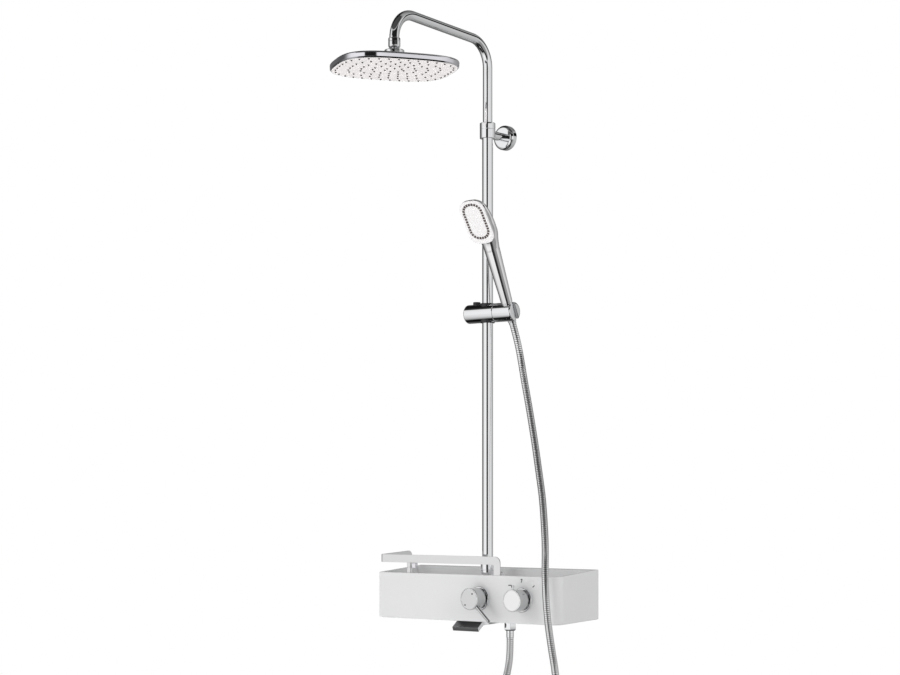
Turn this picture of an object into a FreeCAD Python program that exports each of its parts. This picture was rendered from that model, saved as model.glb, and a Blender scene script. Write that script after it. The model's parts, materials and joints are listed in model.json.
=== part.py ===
import FreeCAD, Part

import math
import os

from FreeCAD import Placement, Rotation, Vector

os.makedirs("parts", exist_ok=True)

# Rainfall shower column for a wall. Millimetres. The wall is the plane y = 0 and the room is on
# its -y side; +z is up, +x is to the right for someone who faces the wall, and z = 0 is the
# height of the two water inlets, midway between which the origin lies.

# ---- clearances ----
running = 0.05          # radial clearance of a turning or sliding fit
seat = 0.3              # gap between curved faces that rest on each other across a joint

# ---- shelf housing ----
shelf_width = 518.0
shelf_depth = 157.0
shelf_below = 53.5      # from the inlets down to the underside's front edge
under_rise = 6.5        # how much higher the underside is at the wall
rim_front = 52.5        # from the inlets up to the front rim
rim_rise = 13.0         # how much higher the rim is at the wall
right_corner_r = 22.0
left_corner_r = 4.0
least_corner_r = 1.0
shell_wall = 3.5
rim_wall = 4.0
rear_ledge = 20.0       # thickness of the tray's wall at the back
tray_floor_z = 22.0
edge_round = 2.5

# ---- column ----
column_out = 74.0       # from the wall to the column's axis
column_od = 25.0
column_foot_z = 36.0
arm_od = 22.0
arm_wall = 1.5

# ---- column foot ----
foot_ring_od = 30.0
foot_ring_top_z = 60.0
foot_nut_od = 31.5
foot_nut_top_z = 84.0
groove_depth = 0.9

# ---- knobs ----
mixer_x = 44.0
diverter_inset = 95.5   # from the housing's right end to the diverter's axis
knob_od = 49.0
knob_reach = 42.0       # from the panel to the knob's face
knob_gap = 5.0          # open gap behind the knob
knob_wall = 3.0
knob_head = 12.0
base_ring_od = 55.0
base_ring_height = 7.5
base_ring_bore = 41.0
collar_od = 35.0
collar_height = 10.0
spindle_od = 10.0
turret_od = 26.0
stem_tail = 12.0        # how far the knobs' stems reach into the valve's bosses
stem_in_knob = 4.0
knob_boss_r = 8.5
lever_od = 7.5
lever_tip_r = 72.0      # from the knob's axis to the lever's end
lever_angle = -43.0     # from +x toward +z
lever_setback = 5.5     # lever axis behind the knob's face
lever_in_knob = 7.0
peg_od = 6.5
peg_height = 9.0
peg_in_knob = 4.0
tilt_pivot_out = 5.0    # tilt axis, in front of the panel
tilt_pin_r = 2.0
rocker_width = 8.0

# ---- spout ----
spout_width = 74.0
spout_thick = 8.5
spout_rear_out = 56.0
spout_bend_out = 141.0
spout_lip_out = 158.5
spout_drop = 14.0
spout_gap = 1.0         # between the housing's underside and the spout
spout_slot = 3.0
spout_slot_deep = 5.0
spout_fold_back = 5.0   # how far behind the upper bend the lower one lies
spout_lip_back = 3.0    # how far the lip's lower edge lies behind its upper one
spout_slot_margin = 5.0

# ---- valve body and inlets ----
inlet_pitch = 150.0
valve_od = 33.0
valve_left_x = -98.0
valve_past_diverter = 26.5
floor_gap = 0.5         # between the valve's outlets and the housing's floor
spigot_od = 24.0
spigot_bore_r = 8.0
outlet_pipe_r = 11.0    # the valve's two outlets at its lower side
union_af = 36.0
union_length = 18.0
inlet_thread_r = 12.2
thread_length = 10.0
washer_seat_r = 12.8
washer_seat_depth = 3.0
washer_thick = 2.0
plate_side_gap = 0.5
plate_thick = 2.5
plate_lip = 12.0
plate_hole_pitch = 400.0
plate_hole_r = 3.0

# ---- rail ----
rail_height = 18.3
rail_thick = 3.0
rail_setback = 5.0      # from the housing's front to the rail's
rail_inset = 0.5        # from the housing's left end to the rail's
rail_right_x = 95.0
rail_top_z = 94.6
rail_rear_out = 38.5
rail_rear_rise = 6.4
rail_corner_r = 15.0
rail_bend_r = 3.0
rail_end_r = 12.0
post_inset = 84.5       # from the rail's left end to the post
rail_post_od = 17.0
rail_lug_reach = 9.0
rail_lug_height = 12.0
rail_foot_od = 8.5

# ---- wall bracket and arm clamp ----
bracket_z = 1065.0
collar_ring_od = 36.0
bracket_ring_below = 11.0
bracket_ring_above = 10.5
column_past_bracket = 2.5
clamp_ring_height = 14.5
rosette_od = 57.0
rosette_depth = 18.0
bracket_arm_od = 20.0
bracket_base_od = 46.0
bracket_base_thick = 5.0
bracket_hole_pitch = 38.0
bracket_hole_r = 2.5
bush_od = 29.0

# ---- shower arm ----
arm_foot_z = 830.0
arm_bend_r = 60.0
arm_slope = 2.75        # degrees above level
arm_reach = 332.0       # from the column's axis to the overhead shower's axis
arm_drop_r = 59.0
arm_end_z = 1214.0
arm_drop = 75.35        # from the long run's far end down to the arm's end
nut_od = 26.4
nut_above_end = 13.5    # from the arm's end up to the nut's top
nut_below_end = 9.2

# ---- overhead shower ----
head_half_long = 134.3
head_half_short = 116.3
head_power = 3.22       # squareness of the outline: 2 is an ellipse
head_back_power = 2.4   # the same, where the back meets the boss
head_turn = 57.3        # from +x toward the wall
head_drop = 56.0        # from the arm's end down to the overhead shower's rim
head_rim = 14.8
head_rim_inset = 6.0
head_dome = 10.2        # rise of the back from the rim to the boss
head_dome_inset = 75.0
head_skin = 2.0
face_inset = 0.2        # between the face and the shell's inside
face_thick = 2.5
ball_r = 10.0
ball_drop = 21.0        # from the arm's end down to the ball's centre
ball_neck_od = 12.0
ball_bore_r = 3.0
ball_plug_r = 8.5       # the flange that turns inside the arm's nut
boss_od = 43.5
boss_drop = 13.0        # from the arm's end down to the boss's top
nozzle_rings = ((123.0, 104.0, 36), (97.0, 81.0, 28), (72.0, 60.0, 21), (47.0, 39.0, 14), (21.0, 17.0, 7))
nozzle_sides = 6
nozzle_tip_r = 1.2
nozzle_root_r = 1.9
nozzle_gap = 0.15
nozzle_stick_out = 2.3
mat_thick = 1.5

# ---- slider and holder ----
slider_z = 652.0
slider_od = 43.5
slider_left = 56.0
slider_right = 27.0
bush_sleeve_od = 33.0
bush_sleeve_half = 22.5
friction_ring_thick = 0.8
spigot_pin_od = 16.0
spigot_pin_reach = 20.5
holder_end_x = 79.0
holder_cone_x = 63.0
holder_lean = 25.5      # degrees, top of the hand shower toward the room
slot_width = 15.2
button_x = -31.5
button_od = 17.0
button_height = 5.5
button_travel = 2.5

# ---- hand shower, along its handle's axis from the holder's centre ----
cone_top = 23.0
cone_low = -24.0
cone_top_r = 12.6
cone_low_r = 9.8
ferrule_low = -30.0
ferrule_r = 8.6
handle_low_r = 13.4
handle_seam_r = 17.9
handle_seam_up = 154.0
neck_top_up = 279.0
# shares of the neck's length, of face_forward, of half the face's width and of handle_seam_r
neck_rings = ((0.144, 0.063, 0.687, 1.084), (0.288, 0.172, 0.863, 1.140), (0.416, 0.270, 0.946, 1.140),
              (0.560, 0.389, 0.971, 1.073), (0.728, 0.602, 0.971, 0.883), (0.864, 0.784, 0.895, 0.704),
              (0.952, 0.972, 0.703, 0.503), (1.000, 1.129, 0.447, 0.251))
handle_twist = 7.6
face_centre_up = 226.5
face_forward = 31.9
face_pitch = 9.4        # the face looks this much further down than the handle's front
face_width = 62.6
face_length = 105.6
face_corner_r = 22.0
face_plate_thick = 3.0
head_tub_depth = 8.0
spray_ring_width = 45.0
spray_ring_length = 83.4
spray_ring_corner_r = 20.0
spray_ring_up = 3.2     # the spray ring's centre above the face's
spray_ring_half = 3.0   # half the width of the ring's groove
spray_ring_deep = 1.0
spray_nozzles = 40
spray_nozzle_r = 1.4
spray_nozzle_high = 1.7

# ---- hose ----
hose_od = 16.0
hose_end_r = 6.0        # bore of the nuts and ferrules that hold the hose's ends
outlet_stub_r = 10.4
outlet_x = 65.0
outlet_nut_af = 25.6
outlet_nut_low_z = -76.0
outlet_nut_gap = 2.0    # between the housing's underside and the nut
outlet_ferrule_low_z = -92.0
outlet_ferrule_r = 8.6

# ---- derived places ----
panel_y = -shelf_depth
column_y = -column_out
rim_back = rim_front + rim_rise
axis_x = Vector(1, 0, 0)
axis_y = Vector(0, 1, 0)
axis_z = Vector(0, 0, 1)
hollow_top_z = tray_floor_z - shell_wall
diverter_x = shelf_width / 2 - diverter_inset
stem_top_out = knob_reach - knob_head + stem_in_knob
lever_root_r = knob_od / 2 - lever_in_knob
peg_root_r = knob_od / 2 - peg_in_knob
valve_right_x = diverter_x + valve_past_diverter
rail_front_out = shelf_depth - rail_setback
rail_left_x = rail_inset - shelf_width / 2
rail_post_x = rail_left_x + post_inset
bracket_ring_low_z = bracket_z - bracket_ring_below
bracket_ring_high_z = bracket_z + bracket_ring_above
column_top_z = bracket_ring_high_z + column_past_bracket
clamp_ring_high_z = bracket_ring_high_z + clamp_ring_height
nut_top_z = arm_end_z + nut_above_end
nut_low_z = arm_end_z - nut_below_end
ball_z = arm_end_z - ball_drop
boss_top_z = arm_end_z - boss_drop
head_low_z = arm_end_z - head_drop
arm_top_z = arm_end_z + arm_drop - arm_reach * math.tan(math.radians(arm_slope))
socket_floor_out = -24.0        # where the cartridge stems rest, behind the panel
collar_low_out = -30.0


# ---- small shape helpers ----
def rod(radius, length, start, direction=axis_z):
    return Part.makeCylinder(radius, length, start, direction)


def pipe(outer_r, inner_r, length, start, direction=axis_z):
    return rod(outer_r, length, start, direction).cut(rod(inner_r, length, start, direction))


def block(x0, x1, y0, y1, z0, z1):
    return Part.makeBox(x1 - x0, y1 - y0, z1 - z0, Vector(x0, y0, z0))


def turned(profile, centre, direction=axis_z):
    """Solid turned round an axis. profile holds (radius, height) corners, closed by the last one."""
    points = [Vector(radius, 0, height) for radius, height in profile]
    face = Part.Face(Part.makePolygon(points + points[:1]))
    solid = face.revolve(Vector(0, 0, 0), axis_z, 360)
    solid.Placement = Placement(centre, Rotation(axis_z, direction))
    return solid


def hexagon(across_flats, length, start, direction=axis_z):
    radius = across_flats / math.sqrt(3)
    points = [Vector(radius * math.cos(math.radians(60 * i)), radius * math.sin(math.radians(60 * i)), 0)
              for i in range(6)]
    solid = Part.Face(Part.makePolygon(points + points[:1])).extrude(Vector(0, 0, length))
    solid.Placement = Placement(start, Rotation(axis_z, direction))
    return solid


def extruded(points, direction):
    return Part.Face(Part.makePolygon(points + points[:1])).extrude(direction)


def round_rectangle(half_x, half_y, radius, z):
    """Closed wire of four sides and four quarter arcs, in a level plane."""
    edges = []
    corners = ((half_x, -half_y, 1, -1), (half_x, half_y, 1, 1),
               (-half_x, half_y, -1, 1), (-half_x, -half_y, -1, -1))
    ends = []
    for x, y, sx, sy in corners:
        centre = Vector(x - sx * radius, y - sy * radius, z)
        turn = math.atan2(sy, sx)
        points = [centre + Vector(radius * math.cos(turn + a), radius * math.sin(turn + a), 0)
                  for a in (-math.pi / 4, 0, math.pi / 4)]
        edges.append(Part.Arc(*points).toShape())
        ends.append((points[0], points[2]))
    sides = [Part.LineSegment(ends[i][1], ends[(i + 1) % 4][0]).toShape() for i in range(4)]
    ordered = [edge for pair in zip(edges, sides) for edge in pair]
    return Part.Wire(ordered)


def squircle_point(half_x, half_y, power, turn):
    c, s = math.cos(turn), math.sin(turn)
    x = half_x * math.copysign(abs(c) ** (2 / power), c)
    y = half_y * math.copysign(abs(s) ** (2 / power), s)
    return Vector(x, y, 0)


def squircle(half_x, half_y, power, z, count=32):
    """Closed smooth outline between an ellipse and a rectangle, in a level plane."""
    points = [squircle_point(half_x, half_y, power, 2 * math.pi * i / count) + Vector(0, 0, z)
              for i in range(count)]
    curve = Part.BSplineCurve()
    curve.interpolate(Points=points, PeriodicFlag=True)
    return Part.Wire(curve.toShape())


def evenly_round(half_x, half_y, power, count, shift=0.0):
    """Points at equal distances along a squircle."""
    steps = 720
    line = [squircle_point(half_x, half_y, power, 2 * math.pi * i / steps) for i in range(steps + 1)]
    walked = [0.0]
    for a, b in zip(line, line[1:]):
        walked.append(walked[-1] + a.distanceToPoint(b))
    places = []
    i = 0
    for k in range(count):
        target = (k + shift) * walked[-1] / count
        while walked[i + 1] < target:
            i += 1
        part = (target - walked[i]) / (walked[i + 1] - walked[i])
        places.append(line[i] + (line[i + 1] - line[i]) * part)
    return places


def bent_tube(points, radii, outer_r, inner_r=0.0):
    """Tube along straight runs joined by arcs. radii holds one bend radius for each inner point."""
    edges = []
    here = points[0]
    for before, corner, after, radius in zip(points, points[1:], points[2:], radii):
        a = (before - corner).normalize()
        b = (after - corner).normalize()
        half = math.acos(max(-1.0, min(1.0, -a.dot(b)))) / 2
        back = radius * math.tan(half)
        start, end = corner + a * back, corner + b * back
        middle_line = (a + b).normalize()
        middle = corner + middle_line * (radius / math.cos(half) - radius)
        edges.append(Part.LineSegment(here, start).toShape())
        edges.append(Part.Arc(start, middle, end).toShape())
        here = end
    edges.append(Part.LineSegment(here, points[-1]).toShape())
    path = Part.Wire(edges)
    direction = points[1] - points[0]
    ring = Part.Wire(Part.makeCircle(outer_r, points[0], direction))
    solid = path.makePipeShell([ring], True, False)
    if inner_r:
        bore = Part.Wire(Part.makeCircle(inner_r, points[0], direction))
        solid = solid.cut(path.makePipeShell([bore], True, False))
    return solid, path


def route_radii(points):
    """The largest bend radii that a cord's runs leave room for."""
    radii = []
    for before, corner, after in zip(points, points[1:], points[2:]):
        a, b = corner - before, after - corner
        half = a.getAngle(b) / 2
        radii.append(0.45 * min(a.Length, b.Length) / math.tan(half))
    return radii


def save(name, shape):
    shape.exportStep(f"parts/{name}.step")


# ---- shelf housing ----
def under_z(out):
    """Height of the housing's sloping underside at a distance from the wall."""
    return -shelf_below + under_rise * (1 - out / shelf_depth)


def below_underside(lift):
    """All the space under the sloping underside, which is raised by lift."""
    x = shelf_width / 2 + 1
    far = shelf_depth + 1
    side = [Vector(-x, 1, under_z(-1) + lift), Vector(-x, -far, under_z(far) + lift),
            Vector(-x, -far, -2 * shelf_below), Vector(-x, 1, -2 * shelf_below)]
    return extruded(side, Vector(2 * x, 0, 0))


def above_rim():
    """All the space over the rim, which rises evenly from the front to the wall."""
    x = shelf_width / 2 + 1
    high = rim_back + 1
    return extruded([Vector(-x, 1, rim_back), Vector(-x, 0, rim_back), Vector(-x, panel_y, rim_front),
                     Vector(-x, panel_y - 1, rim_front), Vector(-x, panel_y - 1, high), Vector(-x, 1, high)],
                    Vector(2 * x, 0, 0))


def plan_prism(inset, y_back, z_low, z_high):
    """Upright prism with the housing's plan: square at the wall, one tight and one wide front corner."""
    x = shelf_width / 2 - inset
    front = panel_y + inset
    right_r = max(right_corner_r - inset, least_corner_r)
    left_r = max(left_corner_r - inset, least_corner_r)
    right_slant = right_r * (1 - math.sqrt(0.5))
    left_slant = left_r * (1 - math.sqrt(0.5))
    left, right = Vector(-x, y_back, z_low), Vector(x, y_back, z_low)
    edges = [
        Part.LineSegment(left, right),
        Part.LineSegment(right, Vector(x, front + right_r, z_low)),
        Part.Arc(Vector(x, front + right_r, z_low), Vector(x - right_slant, front + right_slant, z_low),
                 Vector(x - right_r, front, z_low)),
        Part.LineSegment(Vector(x - right_r, front, z_low), Vector(-x + left_r, front, z_low)),
        Part.Arc(Vector(-x + left_r, front, z_low), Vector(-x + left_slant, front + left_slant, z_low),
                 Vector(-x, front + left_r, z_low)),
        Part.LineSegment(Vector(-x, front + left_r, z_low), left),
    ]
    wire = Part.Wire([edge.toShape() for edge in edges])
    return Part.Face(wire).extrude(Vector(0, 0, z_high - z_low))


def shelf_housing():
    body = plan_prism(0, 0, -shelf_below - 1, rim_back).cut(above_rim()).cut(below_underside(0))
    low_edges = [e for e in body.Edges
                 if e.BoundBox.YMin < -0.01 and all(abs(v.Z - under_z(-v.Y)) < 0.01 for v in e.Vertexes)]
    body = body.makeFillet(edge_round, low_edges)
    tray = plan_prism(rim_wall, -rear_ledge, tray_floor_z, rim_back + 1)
    body = body.cut(tray)
    hollow = plan_prism(shell_wall, 1, -shelf_below, hollow_top_z)
    body = body.cut(hollow.cut(below_underside(shell_wall)))
    for x_knob in (mixer_x, diverter_x):
        body = body.cut(rod(collar_od / 2 + 1, 40, Vector(x_knob, panel_y - 5, 0), axis_y))
    body = body.cut(rod(valve_od / 2 - 4, 20, Vector(0, column_y, tray_floor_z - 10)))
    for x_outlet in (0, outlet_x):
        body = body.cut(rod(spigot_od / 2 + 1, 20, Vector(x_outlet, column_y, -shelf_below - 5)))
    return body


def wall_plate():
    half = shelf_width / 2 - shell_wall - plate_side_gap
    low, high = under_z(0) + shell_wall, hollow_top_z
    plate = block(-half, half, -plate_thick, 0, low, high)
    for z in (low, high - plate_thick):
        plate = plate.fuse(block(-half, half, -plate_lip, 0, z, z + plate_thick))
    for x in (-plate_hole_pitch / 2, plate_hole_pitch / 2):
        plate = plate.cut(rod(plate_hole_r, 20, Vector(x, -10, 0), axis_y))
    room = union_af / math.sqrt(3) + 3
    for x in (-inlet_pitch / 2, inlet_pitch / 2):
        plate = plate.cut(block(x - room, x + room, -20, 1, -room, high + 1))
    return plate.removeSplitter()


def outlet_top_z():
    """Where the valve's two outlets end, a little above the housing's floor."""
    return under_z(column_out) + shell_wall + floor_gap


def valve_body():
    centre = Vector(valve_left_x, column_y, 0)
    body = rod(valve_od / 2, valve_right_x - valve_left_x, centre, axis_x)
    for x in (-inlet_pitch / 2, inlet_pitch / 2):
        body = body.fuse(rod(spigot_od / 2, column_out - union_length, Vector(x, column_y, 0), axis_y))
    for x in (mixer_x, diverter_x):
        reach = shelf_depth - column_out + collar_low_out
        body = body.fuse(rod(collar_od / 2, reach, Vector(x, column_y, 0), -axis_y))
        body = body.cut(rod(spindle_od / 2 + running, stem_tail, at_panel(x, collar_low_out), axis_y))
    body = body.fuse(rod(column_od / 2 - 2, column_foot_z, Vector(0, column_y, 0)))
    for x in (0, outlet_x):
        body = body.fuse(rod(outlet_pipe_r, -outlet_top_z(), Vector(x, column_y, 0), -axis_z))
    return body.removeSplitter()


def inlet_union(x):
    start = Vector(x, -union_length, 0)
    nut = hexagon(union_af, union_length, start, axis_y)
    trim = turned([(0, -1), (union_af * 0.53, -1), (union_af * 0.58, 2), (union_af * 0.58, union_length - 2),
                   (union_af * 0.53, union_length + 1), (0, union_length + 1)], start, axis_y)
    nut = nut.common(trim)
    nut = nut.cut(rod(inlet_thread_r, thread_length, Vector(x, -thread_length, 0), axis_y))
    seat_y = -thread_length - washer_seat_depth
    nut = nut.cut(rod(washer_seat_r, washer_seat_depth, Vector(x, seat_y, 0), axis_y))
    return nut.cut(rod(spigot_bore_r, union_length, start, axis_y))


def inlet_washer(x):
    return pipe(inlet_thread_r - seat, spigot_bore_r, washer_thick,
                Vector(x, -thread_length - washer_seat_depth, 0), axis_y)


# ---- knobs ----
def at_panel(x, out):
    return Vector(x, panel_y - out, 0)


def base_ring(x):
    r, h, bevel = base_ring_od / 2, base_ring_height, 1.2
    inner = base_ring_bore / 2
    return turned([(inner, 0), (r, 0), (r, h - bevel), (r - bevel, h), (inner, h)], at_panel(x, 0), -axis_y)


def knob_collar(x):
    """Threaded collar that holds the cartridge, seen in the gap behind the knob."""
    r = collar_od / 2
    bore = turret_od / 2 + running
    stem = spindle_od / 2 + running
    low, floor = collar_low_out, socket_floor_out
    return turned([(bore, floor), (bore, collar_height), (r - 1.5, collar_height), (r, collar_height - 1.5),
                   (r, low), (stem, low), (stem, floor)], at_panel(x, 0), -axis_y)


def knob_cap(x):
    """Cap with a thin skirt, a thick face and a boss inside for its stem."""
    r = knob_od / 2
    back = base_ring_height + knob_gap
    face = knob_reach
    inner = r - knob_wall
    head = face - knob_head
    profile = [(0, back + 6), (knob_boss_r, back + 6), (knob_boss_r, head), (inner, head),
               (inner, back), (r - 0.8, back), (r, back + 0.8), (r, face - 0.8), (r - 0.8, face), (0, face)]
    return turned(profile, at_panel(x, 0), -axis_y)


def lever_direction():
    turn = math.radians(lever_angle)
    return Vector(math.cos(turn), 0, math.sin(turn))


def tilt_axis():
    """The mixer knob tilts about this line: square to the lever, so that the lever lifts off the panel."""
    turn = math.radians(lever_angle + 90)
    return Vector(math.cos(turn), 0, math.sin(turn))


def square_bar(x, width, out_low, out_high):
    """Bar along the knob's axis with its flats square to the lever."""
    solid = Part.makeBox(width, width, out_high - out_low, Vector(-width / 2, -width / 2, out_low))
    spin = Rotation(axis_y, -lever_angle)
    solid.Placement = Placement(at_panel(x, 0), spin.multiply(Rotation(axis_z, -axis_y)))
    return solid


def mixer_turret():
    bottom, top = socket_floor_out + seat, collar_height - 1
    profile = [(0, bottom), (turret_od / 2, bottom), (turret_od / 2, top), (0, top)]
    body = turned(profile, at_panel(mixer_x, 0), -axis_y)
    tail = rod(spindle_od / 2, stem_tail, at_panel(mixer_x, bottom), axis_y)
    slot = square_bar(mixer_x, rocker_width + 5, -8, 12)
    start = at_panel(mixer_x, tilt_pivot_out) - tilt_axis() * (turret_od / 2)
    bore = rod(tilt_pin_r, turret_od, start, tilt_axis())
    return body.fuse(tail).cut(slot).cut(bore)


def mixer_pin():
    length = turret_od - 1
    start = at_panel(mixer_x, tilt_pivot_out) - tilt_axis() * (length / 2)
    return rod(tilt_pin_r, length, start, tilt_axis())


def mixer_rocker():
    bar = square_bar(mixer_x, rocker_width, -5, stem_top_out)
    centre = at_panel(mixer_x, tilt_pivot_out)
    hole = rod(tilt_pin_r + running, turret_od, centre - tilt_axis() * (turret_od / 2), tilt_axis())
    return bar.cut(hole)


def mixer_knob():
    cap = knob_cap(mixer_x)
    cap = cap.cut(square_bar(mixer_x, rocker_width, 0, stem_top_out))
    start = at_panel(mixer_x, knob_reach - lever_setback) + lever_direction() * (lever_root_r)
    return cap.cut(rod(lever_od / 2, 12, start, lever_direction()))


def mixer_lever():
    root = lever_root_r
    start = at_panel(mixer_x, knob_reach - lever_setback) + lever_direction() * root
    length = lever_tip_r - root
    r = lever_od / 2
    profile = [(0, 0), (r, 0), (r, length - 0.7), (r - 0.7, length), (0, length)]
    return turned(profile, start, lever_direction())


def diverter_spindle():
    low, high = socket_floor_out + seat, stem_top_out
    r = spindle_od / 2
    flange = turret_od / 2
    top = collar_height - 1
    return turned([(0, low - stem_tail), (r, low - stem_tail), (r, low), (flange, low), (flange, top),
                   (r, top), (r, high),
                   (0, high)], at_panel(diverter_x, 0), -axis_y)


def diverter_knob():
    cap = knob_cap(diverter_x)
    cap = cap.cut(rod(spindle_od / 2, knob_reach, at_panel(diverter_x, stem_top_out), axis_y))
    start = at_panel(diverter_x, knob_reach - lever_setback - 1) + Vector(0, 0, peg_root_r)
    return cap.cut(rod(peg_od / 2, 6, start))


def diverter_peg():
    start = at_panel(diverter_x, knob_reach - lever_setback - 1) + Vector(0, 0, peg_root_r)
    r, h = peg_od / 2, peg_height + peg_in_knob
    return turned([(0, 0), (r, 0), (r, h - 1), (r - 1, h), (0, h)], start)


# ---- spout ----
def spout_top_z(out):
    return under_z(out) - spout_gap


def spout_body():
    """Folded flat spout under the housing, whose water leaves a slot under the lip."""
    bend_top = spout_top_z(spout_bend_out)
    lip_top = bend_top - spout_drop
    fold_out = spout_bend_out - spout_fold_back
    x = -spout_width / 2
    upper_bend = Vector(x, -spout_bend_out, bend_top)
    lower_bend = Vector(x, -fold_out, spout_top_z(fold_out) - spout_thick)
    upper_lip = Vector(x, -spout_lip_out, lip_top)
    lower_lip = Vector(x, spout_lip_back - spout_lip_out, lip_top - spout_thick)
    rear_top = spout_top_z(spout_rear_out)
    side = [Vector(x, -spout_rear_out, rear_top), upper_bend, upper_lip, lower_lip, lower_bend,
            Vector(x, -spout_rear_out, rear_top - spout_thick)]
    body = extruded(side, Vector(spout_width, 0, 0))
    long_edges = [e for e in body.Edges if abs(e.BoundBox.XLength - spout_width) < 0.01]
    body = body.makeFillet(0.8, long_edges)
    along = (lower_lip - lower_bend).normalize()
    slot_width = spout_width - 2 * spout_slot_margin
    slot = Part.makeBox(slot_width, spout_slot, 2 * spout_slot_deep,
                        Vector(-slot_width / 2, -spout_slot / 2, -spout_slot_deep))
    mouth = lower_lip - along * spout_slot + Vector(spout_width / 2, 0, 0)
    slot.Placement = Placement(mouth, Rotation(axis_y, along))
    return body.cut(slot)


def spout_neck():
    length = 2 * (shell_wall + spout_gap)
    neck = rod(outlet_pipe_r, length, Vector(0, column_y, outlet_top_z() - length))
    return neck.cut(below_underside(-spout_gap))


# ---- column and its foot ----
def foot_ring():
    r, bore = foot_ring_od / 2, column_od / 2
    low, top = tray_floor_z, foot_ring_top_z
    inner_low = column_od / 2 - 2
    return turned([(inner_low, low), (r + 3, low), (r + 3, low + 4), (r, low + 6), (r, top), (bore, top),
                   (bore, column_foot_z), (inner_low, column_foot_z)], Vector(0, column_y, 0))


def foot_nut():
    r, bore = foot_nut_od / 2, column_od / 2
    low, top = foot_ring_top_z, foot_nut_top_z
    g = groove_depth
    return turned([(bore, low), (r - g, low), (r - g, low + 1.2), (r, low + 2),
                   (r, top - 9), (r - g, top - 8.4), (r - g, top - 7.2), (r, top - 6.6),
                   (r, top - 2), (r - 2, top), (bore, top)],
                  Vector(0, column_y, 0))


def column_tube():
    bore = arm_od / 2 + running
    return pipe(column_od / 2, bore, column_top_z - column_foot_z, Vector(0, column_y, column_foot_z))


# ---- rail ----
def rail():
    y0 = -rail_front_out
    x0, x1 = rail_left_x + rail_bend_r, rail_right_x
    z1, z0 = rail_top_z, rail_top_z - rail_height
    leg_x = x1 - rail_height
    r = rail_corner_r
    slant = r * (1 - math.sqrt(0.5))
    foot_z = tray_floor_z
    s = 2.0
    inner = s * (1 - math.sqrt(0.5))
    edges = [
        Part.LineSegment(Vector(x0, y0, z1), Vector(x1 - r, y0, z1)),
        Part.Arc(Vector(x1 - r, y0, z1), Vector(x1 - slant, y0, z1 - slant), Vector(x1, y0, z1 - r)),
        Part.LineSegment(Vector(x1, y0, z1 - r), Vector(x1, y0, foot_z)),
        Part.LineSegment(Vector(x1, y0, foot_z), Vector(leg_x, y0, foot_z)),
        Part.LineSegment(Vector(leg_x, y0, foot_z), Vector(leg_x, y0, z0 - s)),
        Part.Arc(Vector(leg_x, y0, z0 - s), Vector(leg_x - inner, y0, z0 - inner), Vector(leg_x - s, y0, z0)),
        Part.LineSegment(Vector(leg_x - s, y0, z0), Vector(x0, y0, z0)),
        Part.LineSegment(Vector(x0, y0, z0), Vector(x0, y0, z1)),
    ]
    front = Part.Face(Part.Wire([e.toShape() for e in edges])).extrude(Vector(0, rail_thick, 0))
    foot = block(leg_x, x1, y0, y0 + 14, foot_z, foot_z + rail_thick)
    # the fold at the left end
    turn_face = Part.Face(Part.makePolygon([Vector(x0, y0, z0), Vector(x0, y0 + rail_thick, z0),
                                            Vector(x0, y0 + rail_thick, z1), Vector(x0, y0, z1),
                                            Vector(x0, y0, z0)]))
    fold = turn_face.revolve(Vector(x0, y0 + rail_bend_r, z0), axis_z, -90)
    # the return toward the wall, with a round end
    ya, yb = y0 + rail_bend_r, -rail_rear_out
    end_r = rail_end_r
    lift = rail_rear_rise
    corner = end_r * (1 - math.sqrt(0.5))
    x = rail_left_x
    edges = [
        Part.LineSegment(Vector(x, ya, z0), Vector(x, yb, z0)),
        Part.LineSegment(Vector(x, yb, z0), Vector(x, yb, z1 + lift - end_r)),
        Part.Arc(Vector(x, yb, z1 + lift - end_r), Vector(x, yb - corner, z1 + lift - corner),
                 Vector(x, yb - end_r, z1 + lift)),
        Part.LineSegment(Vector(x, yb - end_r, z1 + lift), Vector(x, ya, z1)),
        Part.LineSegment(Vector(x, ya, z1), Vector(x, ya, z0)),
    ]
    side = Part.Face(Part.Wire([e.toShape() for e in edges])).extrude(Vector(rail_thick, 0, 0))
    return front.fuse([foot, fold, side]).removeSplitter()


def rail_post():
    back = -rail_front_out + rail_thick
    r = rail_post_od / 2
    y = back + r - 1.5
    floor = tray_floor_z
    top = rail_top_z - 3
    groove_z = rail_top_z - rail_height - 12
    body = turned([(0, floor), (r, floor), (r, groove_z), (r - 1.2, groove_z + 0.8), (r - 1.2, groove_z + 2),
                   (r, groove_z + 2.8), (r, top), (0, top)], Vector(rail_post_x, y, 0))
    body = body.cut(block(rail_post_x - 20, rail_post_x + 20, back - 10, back, floor, top + 1))
    lug_top = rail_top_z - rail_height - 1
    lug = block(rail_post_x + r - 2, rail_post_x + r + rail_lug_reach, y - 4, y + 5,
                lug_top - rail_lug_height, lug_top)
    return body.fuse(lug).removeSplitter()


def rail_foot():
    r = rail_foot_od / 2
    y = -rail_front_out + rail_thick + r + 2
    low = tray_floor_z + rail_thick
    top = rim_front + 8
    x = rail_right_x - r + 0.5
    return turned([(0, low), (r + 1.5, low), (r + 1.5, low + 3), (r, low + 3),
                   (r, top - 1.5), (r - 1.5, top), (0, top)],
                  Vector(x, y, 0))


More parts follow.
